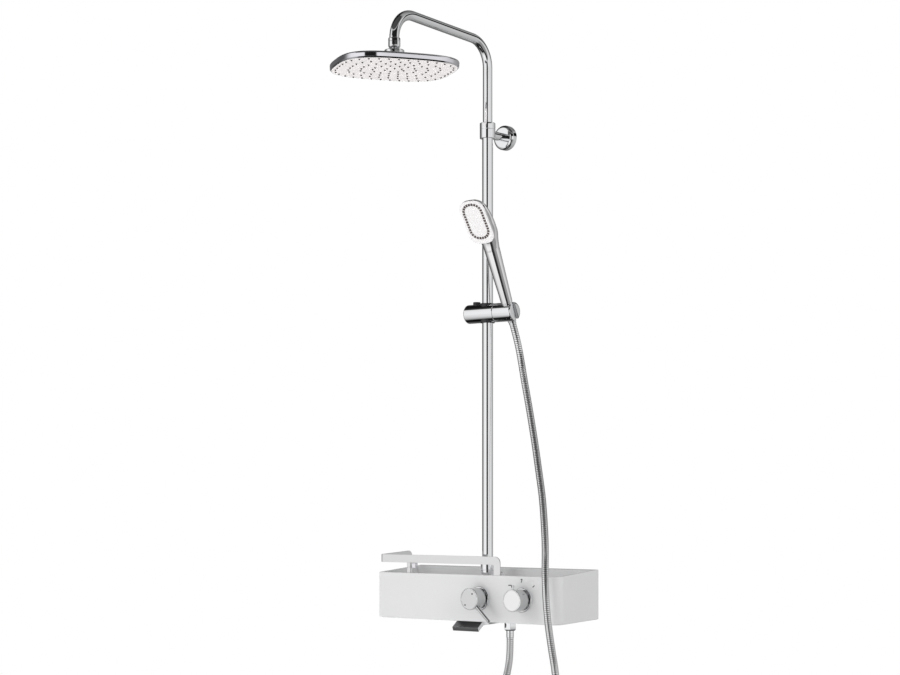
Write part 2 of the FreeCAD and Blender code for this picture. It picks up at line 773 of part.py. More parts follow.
# ---- wall bracket and clamp ----
def bracket_arm():
    height = bracket_ring_high_z - bracket_ring_low_z
    ring = rod(collar_ring_od / 2, height, Vector(0, column_y, bracket_ring_low_z))
    ring = ring.makeChamfer(0.8, [e for e in ring.Edges if e.Closed and e.Curve.TypeId == "Part::GeomCircle"])
    bar = rod(bracket_arm_od / 2, column_out - bracket_base_thick - 4, Vector(0, column_y, bracket_z), axis_y)
    body = ring.fuse(bar)
    body = body.cut(rod(column_od / 2, 3 * height, Vector(0, column_y, bracket_ring_low_z - height)))
    return body.removeSplitter()


def bracket_base():
    disc = turned([(0, 0), (bracket_base_od / 2, 0), (bracket_base_od / 2, bracket_base_thick),
                   (bracket_arm_od / 2 + 4, bracket_base_thick),
                   (bracket_arm_od / 2 + 4, bracket_base_thick + 9),
                   (bracket_arm_od / 2, bracket_base_thick + 9), (bracket_arm_od / 2, bracket_base_thick + 4),
                   (0, bracket_base_thick + 4)], Vector(0, 0, bracket_z), -axis_y)
    for x in (-bracket_hole_pitch / 2, bracket_hole_pitch / 2):
        disc = disc.cut(rod(bracket_hole_r, 40, Vector(x, -30, bracket_z), axis_y))
    return disc


def bracket_rosette():
    r, h, wall = rosette_od / 2, rosette_depth, 1.5
    bore = bracket_arm_od / 2
    return turned([(r, 0), (r, h - 7), (r - 2.2, h - 2.2), (r - 7, h), (bore, h), (bore, h - wall),
                   (r - 7.2, h - wall), (r - wall - 2, h - 3.4), (r - wall, h - 7.5), (r - wall, 0)],
                  Vector(0, 0, bracket_z), -axis_y)


def clamp_ring():
    low, high = bracket_ring_high_z, clamp_ring_high_z
    r = collar_ring_od / 2
    lip = arm_od / 2 + 0.4
    pocket = bush_od / 2 + running
    c = 0.8
    return turned([(column_od / 2, low), (r - c, low), (r, low + c), (r, high - c), (r - c, high),
                   (lip, high), (lip, high - 2), (pocket, high - 2), (pocket, column_top_z + 0.5),
                   (column_od / 2, column_top_z + 0.5)],
                  Vector(0, column_y, 0))


def arm_bush():
    low, high = column_top_z + 0.8, clamp_ring_high_z - 2.3
    return pipe(bush_od / 2, arm_od / 2 + running, high - low, Vector(0, column_y, low))


# ---- shower arm ----
def arm_line():
    """Corners of the arm's centreline, from its foot in the column to its end over the overhead shower."""
    far_z = arm_top_z + arm_reach * math.tan(math.radians(arm_slope))
    return [Vector(0, column_y, arm_foot_z), Vector(0, column_y, arm_top_z),
            Vector(0, column_y - arm_reach, far_z), Vector(0, column_y - arm_reach, arm_end_z)]


def shower_arm():
    tube, path = bent_tube(arm_line(), (arm_bend_r, arm_drop_r), arm_od / 2, arm_od / 2 - arm_wall)
    return tube


def head_centre(z):
    return Vector(0, column_y - arm_reach, z)


def arm_nut():
    r = nut_od / 2
    bore = arm_od / 2
    shelf = ball_plug_r + running
    return turned([(bore, nut_top_z), (r - 2, nut_top_z), (r, nut_top_z - 2.5), (r, nut_low_z + 4.5),
                   (r - 1.4, nut_low_z + 1.4), (r - 4.5, nut_low_z), (ball_neck_od / 2 + running, nut_low_z),
                   (ball_neck_od / 2 + running, nut_low_z + 3), (shelf, nut_low_z + 3),
                   (shelf, arm_end_z - 2), (bore, arm_end_z - 2)], head_centre(0))


def arm_washer():
    return pipe(arm_od / 2 - 0.2, 6.0, 2.0, head_centre(arm_end_z - 2))


def head_ball():
    """Ball with a neck, and a flange on top that turns inside the arm's nut."""
    low = nut_low_z + 3 + running
    high = arm_end_z - 2 - running
    neck = ball_neck_od / 2
    bore, plug = ball_bore_r, ball_plug_r
    stem = turned([(bore, ball_z), (neck, ball_z), (neck, low), (plug, low), (plug, high), (bore, high)],
                  head_centre(0))
    ball = Part.makeSphere(ball_r, head_centre(ball_z))
    ball = ball.cut(rod(ball_bore_r, 4 * ball_r, head_centre(ball_z - 2 * ball_r)))
    return stem.fuse(ball).removeSplitter()


# ---- overhead shower ----
def head_scale(inset):
    return 1 - inset / head_half_short


def head_outline(inset, z, power=head_power):
    scale_x = (head_half_long - inset) if inset < head_half_short / 2 else head_half_long * head_scale(inset)
    scale_y = head_half_short - inset
    return squircle(scale_x, scale_y, power, z)


def place_head(solid):
    solid.Placement = Placement(head_centre(0), Rotation(axis_z, head_turn))
    return solid


def head_sections(skin=0.0):
    """Outline sections from the rim's lower edge, round the rim and up the shallow back."""
    low, rim, edge, far = head_low_z, head_rim, head_rim_inset, head_dome_inset
    steps = [(1.0, 0.0), (0.4, 3.5), (0.0, 9.0), (0.7, 11.8), (2.4, 13.7), (edge, rim)]
    sections = [head_outline(inset + skin, low + up - (skin if up > 5 else 0)) for inset, up in steps]
    for share in (0.28, 0.64, 1.0):
        power = head_power + (head_back_power - head_power) * share
        up = rim + head_dome * math.sin(share * math.pi / 2)
        sections.append(head_outline(edge + (far - edge) * share + skin, low + up - skin, power))
    return sections


def head_shell():
    outer = Part.makeLoft(head_sections(), True, True)
    inner = Part.makeLoft(head_sections(head_skin), True, True)
    shell = outer.cut(inner)
    top = rod(boss_od / 2 - 3, 40, Vector(0, 0, head_low_z))
    return place_head(shell.cut(top))


def face_outline(inset, z):
    return head_outline(1.0 + face_inset + head_skin + inset, z)


def nozzle_polygon(radius, z):
    angles = [2 * math.pi * i / nozzle_sides for i in range(nozzle_sides)]
    points = [Vector(radius * math.cos(angle), radius * math.sin(angle), z) for angle in angles]
    return Part.makePolygon(points + points[:1])


def nozzle_spots():
    spots = []
    for ring, (half_x, half_y, count) in enumerate(nozzle_rings):
        spots += evenly_round(half_x, half_y, head_power - 0.25 * ring, count, 0.5 * (ring % 2))
    return spots


def head_face():
    plate = Part.Face(face_outline(0, head_low_z)).extrude(Vector(0, 0, face_thick))
    outline = nozzle_polygon(nozzle_root_r + nozzle_gap, head_low_z - 1)
    hole = Part.Face(outline).extrude(Vector(0, 0, face_thick + 2))
    holes = [hole.translated(spot) for spot in nozzle_spots()]
    return place_head(plate.cut(Part.makeCompound(holes)))


def head_nozzles():
    """Soft mat behind the face, with a small cone through each hole."""
    base_z = head_low_z + face_thick
    mat = Part.Face(face_outline(2, base_z)).extrude(Vector(0, 0, mat_thick))
    tip_z = head_low_z - nozzle_stick_out
    ends = [nozzle_polygon(nozzle_root_r, base_z), nozzle_polygon(nozzle_tip_r, tip_z)]
    cone = Part.makeLoft(ends, True, True)
    return place_head(mat.fuse([cone.translated(spot) for spot in nozzle_spots()]))


def head_socket():
    seat_z = head_low_z + head_rim + head_dome
    r = boss_od / 2
    top = boss_top_z
    body = turned([(0, seat_z - 4), (r - 3, seat_z - 4), (r - 3, seat_z), (r, seat_z), (r, top - 5),
                   (r - 1.5, top - 1.5), (r - 5, top), (0, top)], head_centre(0))
    body = body.cut(Part.makeSphere(ball_r + running, head_centre(ball_z)))
    mouth = Part.makeCone(8.0, 9.2, top - ball_z - 4.5 + 0.2, head_centre(ball_z + 4.5))
    return body.cut(mouth)


# ---- slider ----
slider_centre = Vector(0, column_y, slider_z)


def slider_bush():
    length = 2 * bush_sleeve_half
    start = slider_centre - Vector(0, 0, bush_sleeve_half)
    return pipe(bush_sleeve_od / 2, column_od / 2 + running, length, start)


def slider_body():
    r, left, right = slider_od / 2, slider_left, slider_right
    pin = spigot_pin_od / 2
    reach = right + spigot_pin_reach
    body = turned([(0, -left), (r - 3, -left), (r - 0.9, -left + 0.9), (r, -left + 3), (r, right),
                   (pin, right), (pin, reach), (0, reach)], slider_centre, axis_x)
    body = body.cut(rod(bush_sleeve_od / 2 + running, 80, slider_centre - Vector(0, 0, 40)))
    pocket = rod(button_od / 2 + running, 40, slider_centre + Vector(button_x, 0, r - 12))
    return body.cut(pocket)


def slider_button():
    r = button_od / 2
    low = slider_od / 2 - 12 + button_travel + 0.5
    high = slider_od / 2 + button_height
    return turned([(0, low), (r, low), (r, high - 1.2), (r - 1.2, high), (0, high)],
                  slider_centre + Vector(button_x, 0, 0))


def friction_ring():
    return pipe(slider_od / 2 - 1, spigot_pin_od / 2 + running, friction_ring_thick,
                slider_centre + Vector(slider_right, 0, 0), axis_x)


# ---- the hand shower's own frame: z along the handle, -y to its front ----
def hand_placement(twist):
    centre = Vector(holder_cone_x, column_y, slider_z)
    return Placement(centre, Rotation(axis_x, holder_lean).multiply(Rotation(axis_z, twist)))


def cone_r(up):
    share = (up - cone_low) / (cone_top - cone_low)
    return cone_low_r + (cone_top_r - cone_low_r) * share


def handset_holder():
    r = slider_od / 2
    start = slider_right + friction_ring_thick
    body = turned([(0, start), (r, start), (r, holder_end_x - 3), (r - 0.9, holder_end_x - 0.9),
                   (r - 3, holder_end_x), (0, holder_end_x)], slider_centre, axis_x)
    mouth = slider_centre + Vector(slider_right, 0, 0)
    body = body.cut(rod(spigot_pin_od / 2 + running, spigot_pin_reach + 0.5, mouth, axis_x))
    half = slider_od * 0.75
    cone = Part.makeCone(cone_r(-half) + seat, cone_r(half) + seat, 2 * half, Vector(0, 0, -half))
    slot = block(0, 40, -slot_width / 2, slot_width / 2, -half, half)
    cone.Placement = hand_placement(0)
    slot.Placement = hand_placement(0)
    return body.cut(cone).cut(slot)


def hose_cone_nut():
    profile = [(hose_end_r, cone_low), (cone_low_r, cone_low), (cone_top_r, cone_top), (hose_end_r, cone_top)]
    nut = turned(profile, Vector(0, 0, 0))
    nut.Placement = hand_placement(0)
    return nut


def ferrule_top():
    bore = hose_end_r
    ring = turned([(bore, ferrule_low), (ferrule_r, ferrule_low), (ferrule_r, cone_low), (bore, cone_low)],
                  Vector(0, 0, 0))
    ring.Placement = hand_placement(0)
    return ring


def handset_frame(up, forward):
    """A place on the hand shower: up along the handle's axis, forward of it."""
    return Vector(0, -forward, up)


def face_placement():
    """Frame of the spray face: z out of the face, y along its length."""
    out = Rotation(axis_x, 90 + face_pitch)
    return Placement(handset_frame(face_centre_up, face_forward), out)


def face_block(half_x, half_y, radius, low, high, up=0.0):
    """Rounded block on the spray face. low and high are heights in front of the face."""
    solid = Part.Face(round_rectangle(half_x, half_y, radius, low)).extrude(Vector(0, 0, high - low))
    return solid.translated(Vector(0, up, 0))


def place_on_face(solid):
    solid.Placement = hand_placement(handle_twist).multiply(face_placement())
    return solid


def handle_r(up):
    return handle_low_r + (handle_seam_r - handle_low_r) * (up - cone_top) / (handle_seam_up - cone_top)


def handle_sections():
    """Rings of the neck over the handle's seam, from the handle's own circle to the flat upper edge."""
    span = neck_top_up - handle_seam_up
    wires = [Part.Wire(Part.Circle(Vector(0, 0, handle_seam_up), axis_z, handle_seam_r).toShape())]
    for up, forward, wide, deep in neck_rings:
        centre = handset_frame(handle_seam_up + up * span, forward * face_forward)
        half_x, half_y = wide * face_width / 2, deep * handle_seam_r
        ring = Part.Ellipse(centre + Vector(half_x, 0, 0), centre + Vector(0, half_y, 0), centre)
        wires.append(Part.Wire(ring.toShape()))
    return wires


def handset_handle():
    """Tapered handle with two fine grooves under its seam."""
    g = groove_depth / 2
    profile = [(0, cone_top), (handle_low_r - 0.8, cone_top), (handle_low_r, cone_top + 0.8)]
    for below in (4.2, 1.6):
        up = handle_seam_up - below
        r = handle_r(up)
        profile += [(r, up - 0.6), (r - g, up - 0.3), (r - g, up + 0.3), (r, up + 0.6)]
    profile += [(handle_seam_r, handle_seam_up), (0, handle_seam_up)]
    return turned(profile, Vector(0, 0, 0))


def handset_shell():
    neck = Part.makeLoft(handle_sections(), True, False)
    front = face_block(2 * face_width, 2 * face_length, face_corner_r, 0, face_length)
    front.Placement = face_placement()
    neck = neck.cut(front)
    tub = face_block(face_width / 2, face_length / 2, face_corner_r, -head_tub_depth, 0)
    back_edges = [e for e in tub.Edges if e.BoundBox.ZMax < -head_tub_depth + 0.01]
    tub = tub.makeFillet(5.0, back_edges)
    tub.Placement = face_placement()
    body = neck.fuse(tub).fuse(handset_handle())
    body.Placement = hand_placement(handle_twist)
    return body


def spray_ring(grow, low, high):
    half_x, half_y = spray_ring_width / 2 + grow, spray_ring_length / 2 + grow
    return face_block(half_x, half_y, spray_ring_corner_r + grow, low, high, spray_ring_up)


def handset_face():
    plate = face_block(face_width / 2, face_length / 2, face_corner_r, 0, face_plate_thick)
    front_edges = [e for e in plate.Edges if e.BoundBox.ZMin > face_plate_thick - 0.01]
    plate = plate.makeFillet(1.5, front_edges)
    low, high = face_plate_thick - spray_ring_deep, face_plate_thick + 1
    groove = spray_ring(spray_ring_half, low, high).cut(spray_ring(-spray_ring_half, low, high))
    return place_on_face(plate.cut(groove))


def handset_nozzles():
    low = face_plate_thick - spray_ring_deep
    high = low + 0.5
    ring = spray_ring(spray_ring_half, low, high).cut(spray_ring(-spray_ring_half, low, high))
    line = round_rectangle(spray_ring_width / 2, spray_ring_length / 2, spray_ring_corner_r, low)
    spots = line.discretize(spray_nozzles + 1)[:-1]
    pin = Part.Face(nozzle_polygon(spray_nozzle_r, 0)).extrude(Vector(0, 0, spray_nozzle_high))
    pins = [pin.translated(spot + Vector(0, spray_ring_up, 0)) for spot in spots]
    return place_on_face(ring.fuse(pins))


# ---- hose ----
def hose_outlet():
    low = outlet_nut_low_z + 4
    return pipe(outlet_stub_r, 6.0, outlet_top_z() - low, Vector(outlet_x, column_y, low))


def hose_outlet_nut():
    length = under_z(column_out) - outlet_nut_gap - outlet_nut_low_z
    start = Vector(outlet_x, column_y, outlet_nut_low_z)
    nut = hexagon(outlet_nut_af, length, start)
    corner = outlet_nut_af / math.sqrt(3)
    trim = turned([(0, 0), (corner - 4, 0), (corner - 1, 2.2), (corner, 5), (corner, length - 1.5),
                   (corner - 1.5, length), (0, length)], start)
    nut = nut.common(trim)
    bore = rod(outlet_stub_r, 40, start + Vector(0, 0, 4))
    return nut.cut(bore).cut(rod(hose_end_r, 20, start - Vector(0, 0, 5)))


def ferrule_low_ring():
    length = outlet_nut_low_z - outlet_ferrule_low_z
    return pipe(outlet_ferrule_r, hose_end_r, length, Vector(outlet_x, column_y, outlet_ferrule_low_z))


def hose_route():
    """Points of the hose's free line, from its ferrule below the shelf up to the one on the hand shower."""
    hand = hand_placement(0)
    first = Vector(outlet_x, column_y, outlet_ferrule_low_z)
    last = hand.multVec(Vector(0, 0, ferrule_low))
    before_last = hand.multVec(Vector(0, 0, ferrule_low - 42))
    middle = [
        (65, -74, -122), (65, -78, -152), (63, -87, -186), (59, -100, -226), (58, -112, -268),
        (65, -124, -314), (86, -138, -355), (122, -152, -382), (167, -164, -390), (212, -174, -374),
        (250, -182, -335), (273, -187, -279), (281, -190, -217), (277, -190, -158), (265, -190, -100),
        (255, -190, -42), (248, -188, 14), (242, -182, 66), (233, -168, 118), (216, -149, 172),
        (195, -127, 228), (170, -106, 284), (146, -86, 340), (122, -68, 396), (101, -54, 448),
        (83, -44, 496), (70, -38, 540),
    ]
    return [first] + [Vector(*point) for point in middle] + [before_last, last]


def hose():
    points = hose_route()
    radii = route_radii(points)
    tube, path = bent_tube(points, radii, hose_od / 2)
    print("hose length", round(path.Length, 1), "least radius", round(min(radii), 1))
    print("hose volume ratio", round(tube.Volume / (math.pi * hose_od ** 2 / 4 * path.Length), 4))
    return tube


# ---- all the pieces ----
def main():
    half_pitch = inlet_pitch / 2
    save("shelf_housing", shelf_housing())
    save("wall_plate", wall_plate())
    save("valve_body", valve_body())
    save("inlet_union_hot", inlet_union(-half_pitch))
    save("inlet_union_cold", inlet_union(half_pitch))
    save("inlet_washer_hot", inlet_washer(-half_pitch))
    save("inlet_washer_cold", inlet_washer(half_pitch))
    save("mixer_base_ring", base_ring(mixer_x))
    save("mixer_collar", knob_collar(mixer_x))
    save("mixer_turret", mixer_turret())
    save("mixer_pin", mixer_pin())
    save("mixer_rocker", mixer_rocker())
    save("mixer_knob", mixer_knob())
    save("mixer_lever", mixer_lever())
    save("diverter_base_ring", base_ring(diverter_x))
    save("diverter_collar", knob_collar(diverter_x))
    save("diverter_spindle", diverter_spindle())
    save("diverter_knob", diverter_knob())
    save("diverter_peg", diverter_peg())
    save("spout_body", spout_body())
    save("spout_neck", spout_neck())
    save("column_foot_ring", foot_ring())
    save("column_foot_nut", foot_nut())
    save("column_tube", column_tube())
    save("rail", rail())
    save("rail_post", rail_post())
    save("rail_foot", rail_foot())
    save("bracket_arm", bracket_arm())
    save("bracket_base", bracket_base())
    save("bracket_rosette", bracket_rosette())
    save("arm_clamp_ring", clamp_ring())
    save("arm_bush", arm_bush())
    save("shower_arm", shower_arm())
    save("arm_nut", arm_nut())
    save("arm_washer", arm_washer())
    save("head_ball", head_ball())
    save("head_socket", head_socket())
    save("head_shell", head_shell())
    save("head_face", head_face())
    save("head_nozzles", head_nozzles())
    save("slider_bush", slider_bush())
    save("slider_body", slider_body())
    save("slider_button", slider_button())
    save("friction_ring", friction_ring())
    save("handset_holder", handset_holder())
    save("handset_shell", handset_shell())
    save("handset_face", handset_face())
    save("handset_nozzles", handset_nozzles())
    save("hose_cone_nut", hose_cone_nut())
    save("hose_ferrule_top", ferrule_top())
    save("hose", hose())
    save("hose_ferrule_low", ferrule_low_ring())
    save("hose_outlet_nut", hose_outlet_nut())
    save("hose_outlet", hose_outlet())


main()
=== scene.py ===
import json
import math

import bpy
from mathutils import Matrix, Vector


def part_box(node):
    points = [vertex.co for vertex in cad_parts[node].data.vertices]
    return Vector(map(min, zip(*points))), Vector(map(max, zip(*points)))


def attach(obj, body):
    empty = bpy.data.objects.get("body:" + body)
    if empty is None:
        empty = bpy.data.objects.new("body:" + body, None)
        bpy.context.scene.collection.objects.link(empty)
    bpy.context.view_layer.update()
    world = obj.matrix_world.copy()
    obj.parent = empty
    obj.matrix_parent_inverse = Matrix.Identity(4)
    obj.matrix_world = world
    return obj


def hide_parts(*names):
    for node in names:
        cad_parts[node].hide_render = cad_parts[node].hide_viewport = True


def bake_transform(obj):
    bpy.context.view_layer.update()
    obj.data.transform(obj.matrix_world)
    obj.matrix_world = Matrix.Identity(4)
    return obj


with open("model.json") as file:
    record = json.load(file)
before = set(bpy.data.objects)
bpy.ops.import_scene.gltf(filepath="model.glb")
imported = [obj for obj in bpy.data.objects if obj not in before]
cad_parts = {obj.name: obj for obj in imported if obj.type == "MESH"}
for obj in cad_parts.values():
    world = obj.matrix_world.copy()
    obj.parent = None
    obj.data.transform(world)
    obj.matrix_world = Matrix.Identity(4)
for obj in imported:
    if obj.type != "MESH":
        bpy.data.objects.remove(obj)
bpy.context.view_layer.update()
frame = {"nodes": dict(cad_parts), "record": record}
nodes = frame["nodes"]
bpy.ops.object.select_all(action="DESELECT")

mm = 0.001
to_room, to_wall, to_right = (0, -1, 0), (0, 1, 0), (1, 0, 0)


# ---- places taken from the frame ----
def middle(node):
    """Middle of a node's box at rest."""
    low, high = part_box(node)
    return (low + high) / 2


column_y = middle("column_tube").y
panel_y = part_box("shelf_housing")[0].y
mixer_x = middle("mixer_base_ring").x
diverter_x = middle("diverter_base_ring").x
outlet_x = 65 * mm


# ---- camera: level, with the lens shifted to keep the uprights upright ----
def aim_camera(location, heading, lens, shift):
    data = bpy.data.cameras.new("product_camera")
    camera = bpy.data.objects.new("product_camera", data)
    bpy.context.collection.objects.link(camera)
    camera.location = location
    camera.rotation_euler = (math.radians(90), 0, math.radians(heading))
    data.sensor_width = 36.0
    data.lens = lens
    data.shift_x, data.shift_y = shift
    bpy.context.scene.camera = camera


aim_camera(location=(2.843, -3.759, 0.234), heading=38.15, lens=80.8, shift=(-0.0222, 0.1747))


# ---- hose ----
hose_diameter = 0.016
hose_pitch = 0.0045
steps_a_turn = 12
groove_half_width = 0.17  # as a share of one turn
groove_deep = 0.0007
slack = 1e-6
route = [
    (0.065, -0.074, -0.092), (0.065, -0.074, -0.122), (0.065, -0.078, -0.152),
    (0.063, -0.087, -0.186), (0.059, -0.100, -0.226), (0.058, -0.112, -0.268),
    (0.065, -0.124, -0.314), (0.086, -0.138, -0.355), (0.122, -0.152, -0.382),
    (0.167, -0.164, -0.390), (0.212, -0.174, -0.374), (0.250, -0.182, -0.335),
    (0.273, -0.187, -0.279), (0.281, -0.190, -0.217), (0.277, -0.190, -0.158),
    (0.265, -0.190, -0.100), (0.255, -0.190, -0.042), (0.248, -0.188, 0.014),
    (0.242, -0.182, 0.066), (0.233, -0.168, 0.118), (0.216, -0.149, 0.172),
    (0.195, -0.127, 0.228), (0.170, -0.106, 0.284), (0.146, -0.086, 0.340),
    (0.122, -0.068, 0.396), (0.101, -0.054, 0.448), (0.083, -0.044, 0.496),
    (0.070, -0.038, 0.540), (0.063, -0.0430032, 0.5870139), (0.063, -0.0610847, 0.6249224),
]


def smooth_line(points, name):
    """Points along a NURBS spline whose control points are the given ones."""
    curve = bpy.data.curves.new(name, "CURVE")
    curve.dimensions = "3D"
    spline = curve.splines.new("NURBS")
    spline.points.add(len(points) - 1)
    for control, spot in zip(spline.points, points):
        control.co = (*spot, 1.0)
    spline.order_u = 3
    spline.use_endpoint_u = True
    spline.resolution_u = 24
    holder = bpy.data.objects.new(name, curve)
    bpy.context.collection.objects.link(holder)
    bpy.context.view_layer.update()
    shown = holder.evaluated_get(bpy.context.evaluated_depsgraph_get())
    mesh = bpy.data.meshes.new_from_object(shown)
    line = [v.co.copy() for v in mesh.vertices]
    bpy.data.objects.remove(holder)
    bpy.data.meshes.remove(mesh)
    return line


def distances(line):
    """Each point's distance from the line's start."""
    walked = [0.0]
    for a, b in zip(line, line[1:]):
        walked.append(walked[-1] + (b - a).length)
    return walked


def walk(line, step):
    """The same line with points at even steps, each with its distance from the start."""
    walked = distances(line)
    total = walked[-1]
    count = round(total / step)
    places, i = [], 0
    for k in range(count + 1):
        target = total * k / count
        while i < len(line) - 2 and walked[i + 1] < target:
            i += 1
        share = (target - walked[i]) / (walked[i + 1] - walked[i])
        places.append((target, line[i].lerp(line[i + 1], share)))
    return places, total


hose_line = smooth_line(route, "hose_route")
hose_places, hose_length = walk(hose_line, hose_pitch / steps_a_turn)


def hose_stretch(start, end):
    """The hose's even steps between two distances along it."""
    return [(s, p) for s, p in hose_places if start - slack <= s <= end + slack]


def hose_section(name, start, end, sides=16):
    """A stretch of interlocked steel hose: its wall follows one long screw line of grooves."""
    stretch = hose_stretch(start, end)
    verts, faces, depths = [], [], []
    side_way = Vector((1, 0, 0))
    for k, (s, p) in enumerate(stretch):
        ahead = stretch[min(k + 1, len(stretch) - 1)][1] - stretch[max(k - 1, 0)][1]
        ahead.normalize()
        side_way = (side_way - ahead * side_way.dot(ahead)).normalized()
        other = ahead.cross(side_way)
        for j in range(sides):
            turn = 2 * math.pi * j / sides
            phase = (s / hose_pitch + j / sides) % 1.0
            groove = max(0.0, 1 - min(phase, 1 - phase) / groove_half_width)
            depths.append(groove)
            r = hose_diameter / 2 - groove_deep * groove
            verts.append(p + (side_way * math.cos(turn) + other * math.sin(turn)) * r)
    for k in range(len(stretch) - 1):
        for j in range(sides):
            a, b = k * sides + j, k * sides + (j + 1) % sides
            faces.append((a, b, b + sides, a + sides))
    faces.append(tuple(range(sides))[::-1])
    faces.append(tuple(range(len(verts) - sides, len(verts))))
    mesh = bpy.data.meshes.new(name)
    mesh.from_pydata(verts, [], faces)
    mesh.attributes.new("groove_depth", "FLOAT", "POINT").data.foreach_set("value", depths)
    piece = bpy.data.objects.new(name, mesh)
    bpy.context.collection.objects.link(piece)
    mesh.shade_smooth()
    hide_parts("hose")
    return piece


# the hose is cut into four stretches: the last three, 100 to 120 mm long, lie at its
# top end, and the main one runs from the outlet
cuts = [0.0] + [hose_length - from_top for from_top in (0.32, 0.20, 0.10, 0.0)]
hose_main = hose_section("hose_main", cuts[0], cuts[1])
hose_upper = hose_section("hose_upper", cuts[1], cuts[2])
hose_bend = hose_section("hose_bend", cuts[2], cuts[3])
hose_top = hose_section("hose_top", cuts[3], cuts[4])
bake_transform(hose_main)


def blend_over(piece):
    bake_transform(piece)


blend_over(hose_upper)
blend_over(hose_bend)
blend_over(hose_top)


# ---- modelling tools ----
def edit(mode="VERT"):
    bpy.ops.object.mode_set(mode="EDIT")
    bpy.ops.mesh.select_mode(type=mode)


def done():
    bpy.ops.object.mode_set(mode="OBJECT")


def everything():
    bpy.ops.mesh.select_all(action="SELECT")


def extrude(step):
    bpy.ops.mesh.extrude_region_move(TRANSFORM_OT_translate={"value": step})


def apply_place():
    bpy.ops.object.transform_apply(location=True, rotation=True, scale=True)


def faces_out():
    """Turn every face outward and leave edit mode."""
    everything()
    bpy.ops.mesh.normals_make_consistent(inside=False)
    done()


def named(name):
    """The new primitive, under its own name."""
    piece = bpy.context.object
    piece.name = name
    return piece


def only(piece):
    """Select this piece and no other."""
    bpy.ops.object.select_all(action="DESELECT")
    piece.select_set(True)
    bpy.context.view_layer.objects.active = piece


def pick(piece, wanted, mode="VERT"):
    """Select, in edit mode, the parts of the mesh that the test holds for."""
    edit(mode)
    bpy.ops.mesh.select_all(action="DESELECT")
    done()
    mesh = piece.data
    if mode == "VERT":
        for v in mesh.vertices:
            v.select = wanted(v.co)
    elif mode == "EDGE":
        for e in mesh.edges:
            e.select = wanted(mesh.vertices[e.vertices[0]].co, mesh.vertices[e.vertices[1]].co)
    else:
        for f in mesh.polygons:
            f.select = wanted(f.center, f.normal)
    bpy.ops.object.mode_set(mode="EDIT")


def bevel_picked(radius, segments, affect="EDGES"):
    """Bevel what is picked, by a radius in millimetres, and leave edit mode."""
    bpy.ops.mesh.bevel(offset=radius * mm, segments=segments, affect=affect)
    done()


def place(piece, centre=(0, 0, 0), direction=None, turn=None):
    """Turn a finished mesh from +z to its own direction, move it home and apply both."""
    only(piece)
    if direction is not None:
        piece.rotation_mode = "QUATERNION"
        piece.rotation_quaternion = Vector((0, 0, 1)).rotation_difference(Vector(direction))
    if turn is not None:
        piece.rotation_mode = "QUATERNION"
        piece.rotation_quaternion = turn
    piece.location = centre
    apply_place()
    piece.rotation_mode = "XYZ"


def settle(piece, matrix):
    """Move a finished mesh home by a matrix and apply it."""
    only(piece)
    piece.matrix_world = matrix
    apply_place()


def smooth(piece, angle=32):
    """Smooth shading that leaves the wide faces flat: only narrow edge faces turn the light."""
    only(piece)
    bpy.ops.object.shade_smooth_by_angle(angle=math.radians(angle))
    even = piece.modifiers.new("even_shading", "WEIGHTED_NORMAL")
    even.keep_sharp = True
    even.weight = 90
    bpy.ops.object.modifier_apply(modifier="even_shading")


def round_edges(piece, width, segments=2, angle=32):
    """Bevel the sharp edges and shade the rest smooth."""
    only(piece)
    bevel = piece.modifiers.new("edge_round", "BEVEL")
    bevel.width = width
    bevel.segments = segments
    bevel.limit_method = "ANGLE"
    bevel.angle_limit = math.radians(angle)
    bevel.use_clamp_overlap = True
    bpy.ops.object.modifier_apply(modifier="edge_round")
    smooth(piece, angle)


def combine(piece, other, operation="DIFFERENCE"):
    """Boolean of two pieces; the second one is used up."""
    only(piece)
    tool = piece.modifiers.new("combine", "BOOLEAN")
    tool.operation = operation
    tool.object = other
    tool.solver = "EXACT"
    bpy.ops.object.modifier_apply(modifier="combine")
    mesh = other.data
    bpy.data.objects.remove(other)
    bpy.data.meshes.remove(mesh)


def slice_off(piece, level, normal):
    """Cut a piece through with a plane, close the cut and drop what lies beyond it."""
    only(piece)
    edit()
    everything()
    bpy.ops.mesh.bisect(plane_co=level, plane_no=Vector(normal).normalized(), use_fill=True,
                        clear_outer=True)
    done()


def turned(name, profile, centre=(0, 0, 0), direction=None, sides=64, bored=False, turn=None):
    """Turned piece: one ring, extruded and resized through (radius, height) in millimetres."""
    bpy.ops.object.select_all(action="DESELECT")
    r, h = profile[0]
    bpy.ops.mesh.primitive_circle_add(vertices=sides, radius=r * mm, location=(0, 0, h * mm))
    piece = named(name)
    apply_place()
    edit()
    everything()
    for radius, height in profile[1:] + ([profile[0]] if bored else []):
        extrude((0, 0, (height - h) * mm))
        if abs(radius - r) > slack:
            k = radius / r
            bpy.ops.transform.resize(value=(k, k, 1), center_override=(0, 0, height * mm))
        r, h = radius, height
    everything()
    bpy.ops.mesh.remove_doubles(threshold=0.000005)
    if not bored:
        bpy.ops.mesh.fill_holes(sides=0)
    faces_out()
    place(piece, centre, direction, turn)
    return piece


def hole(radius, low, high, centre, direction=None, sides=48):
    """Round pin used for cutting a hole."""
    return turned("hole", [(radius, low), (radius, high)], centre, direction, sides)


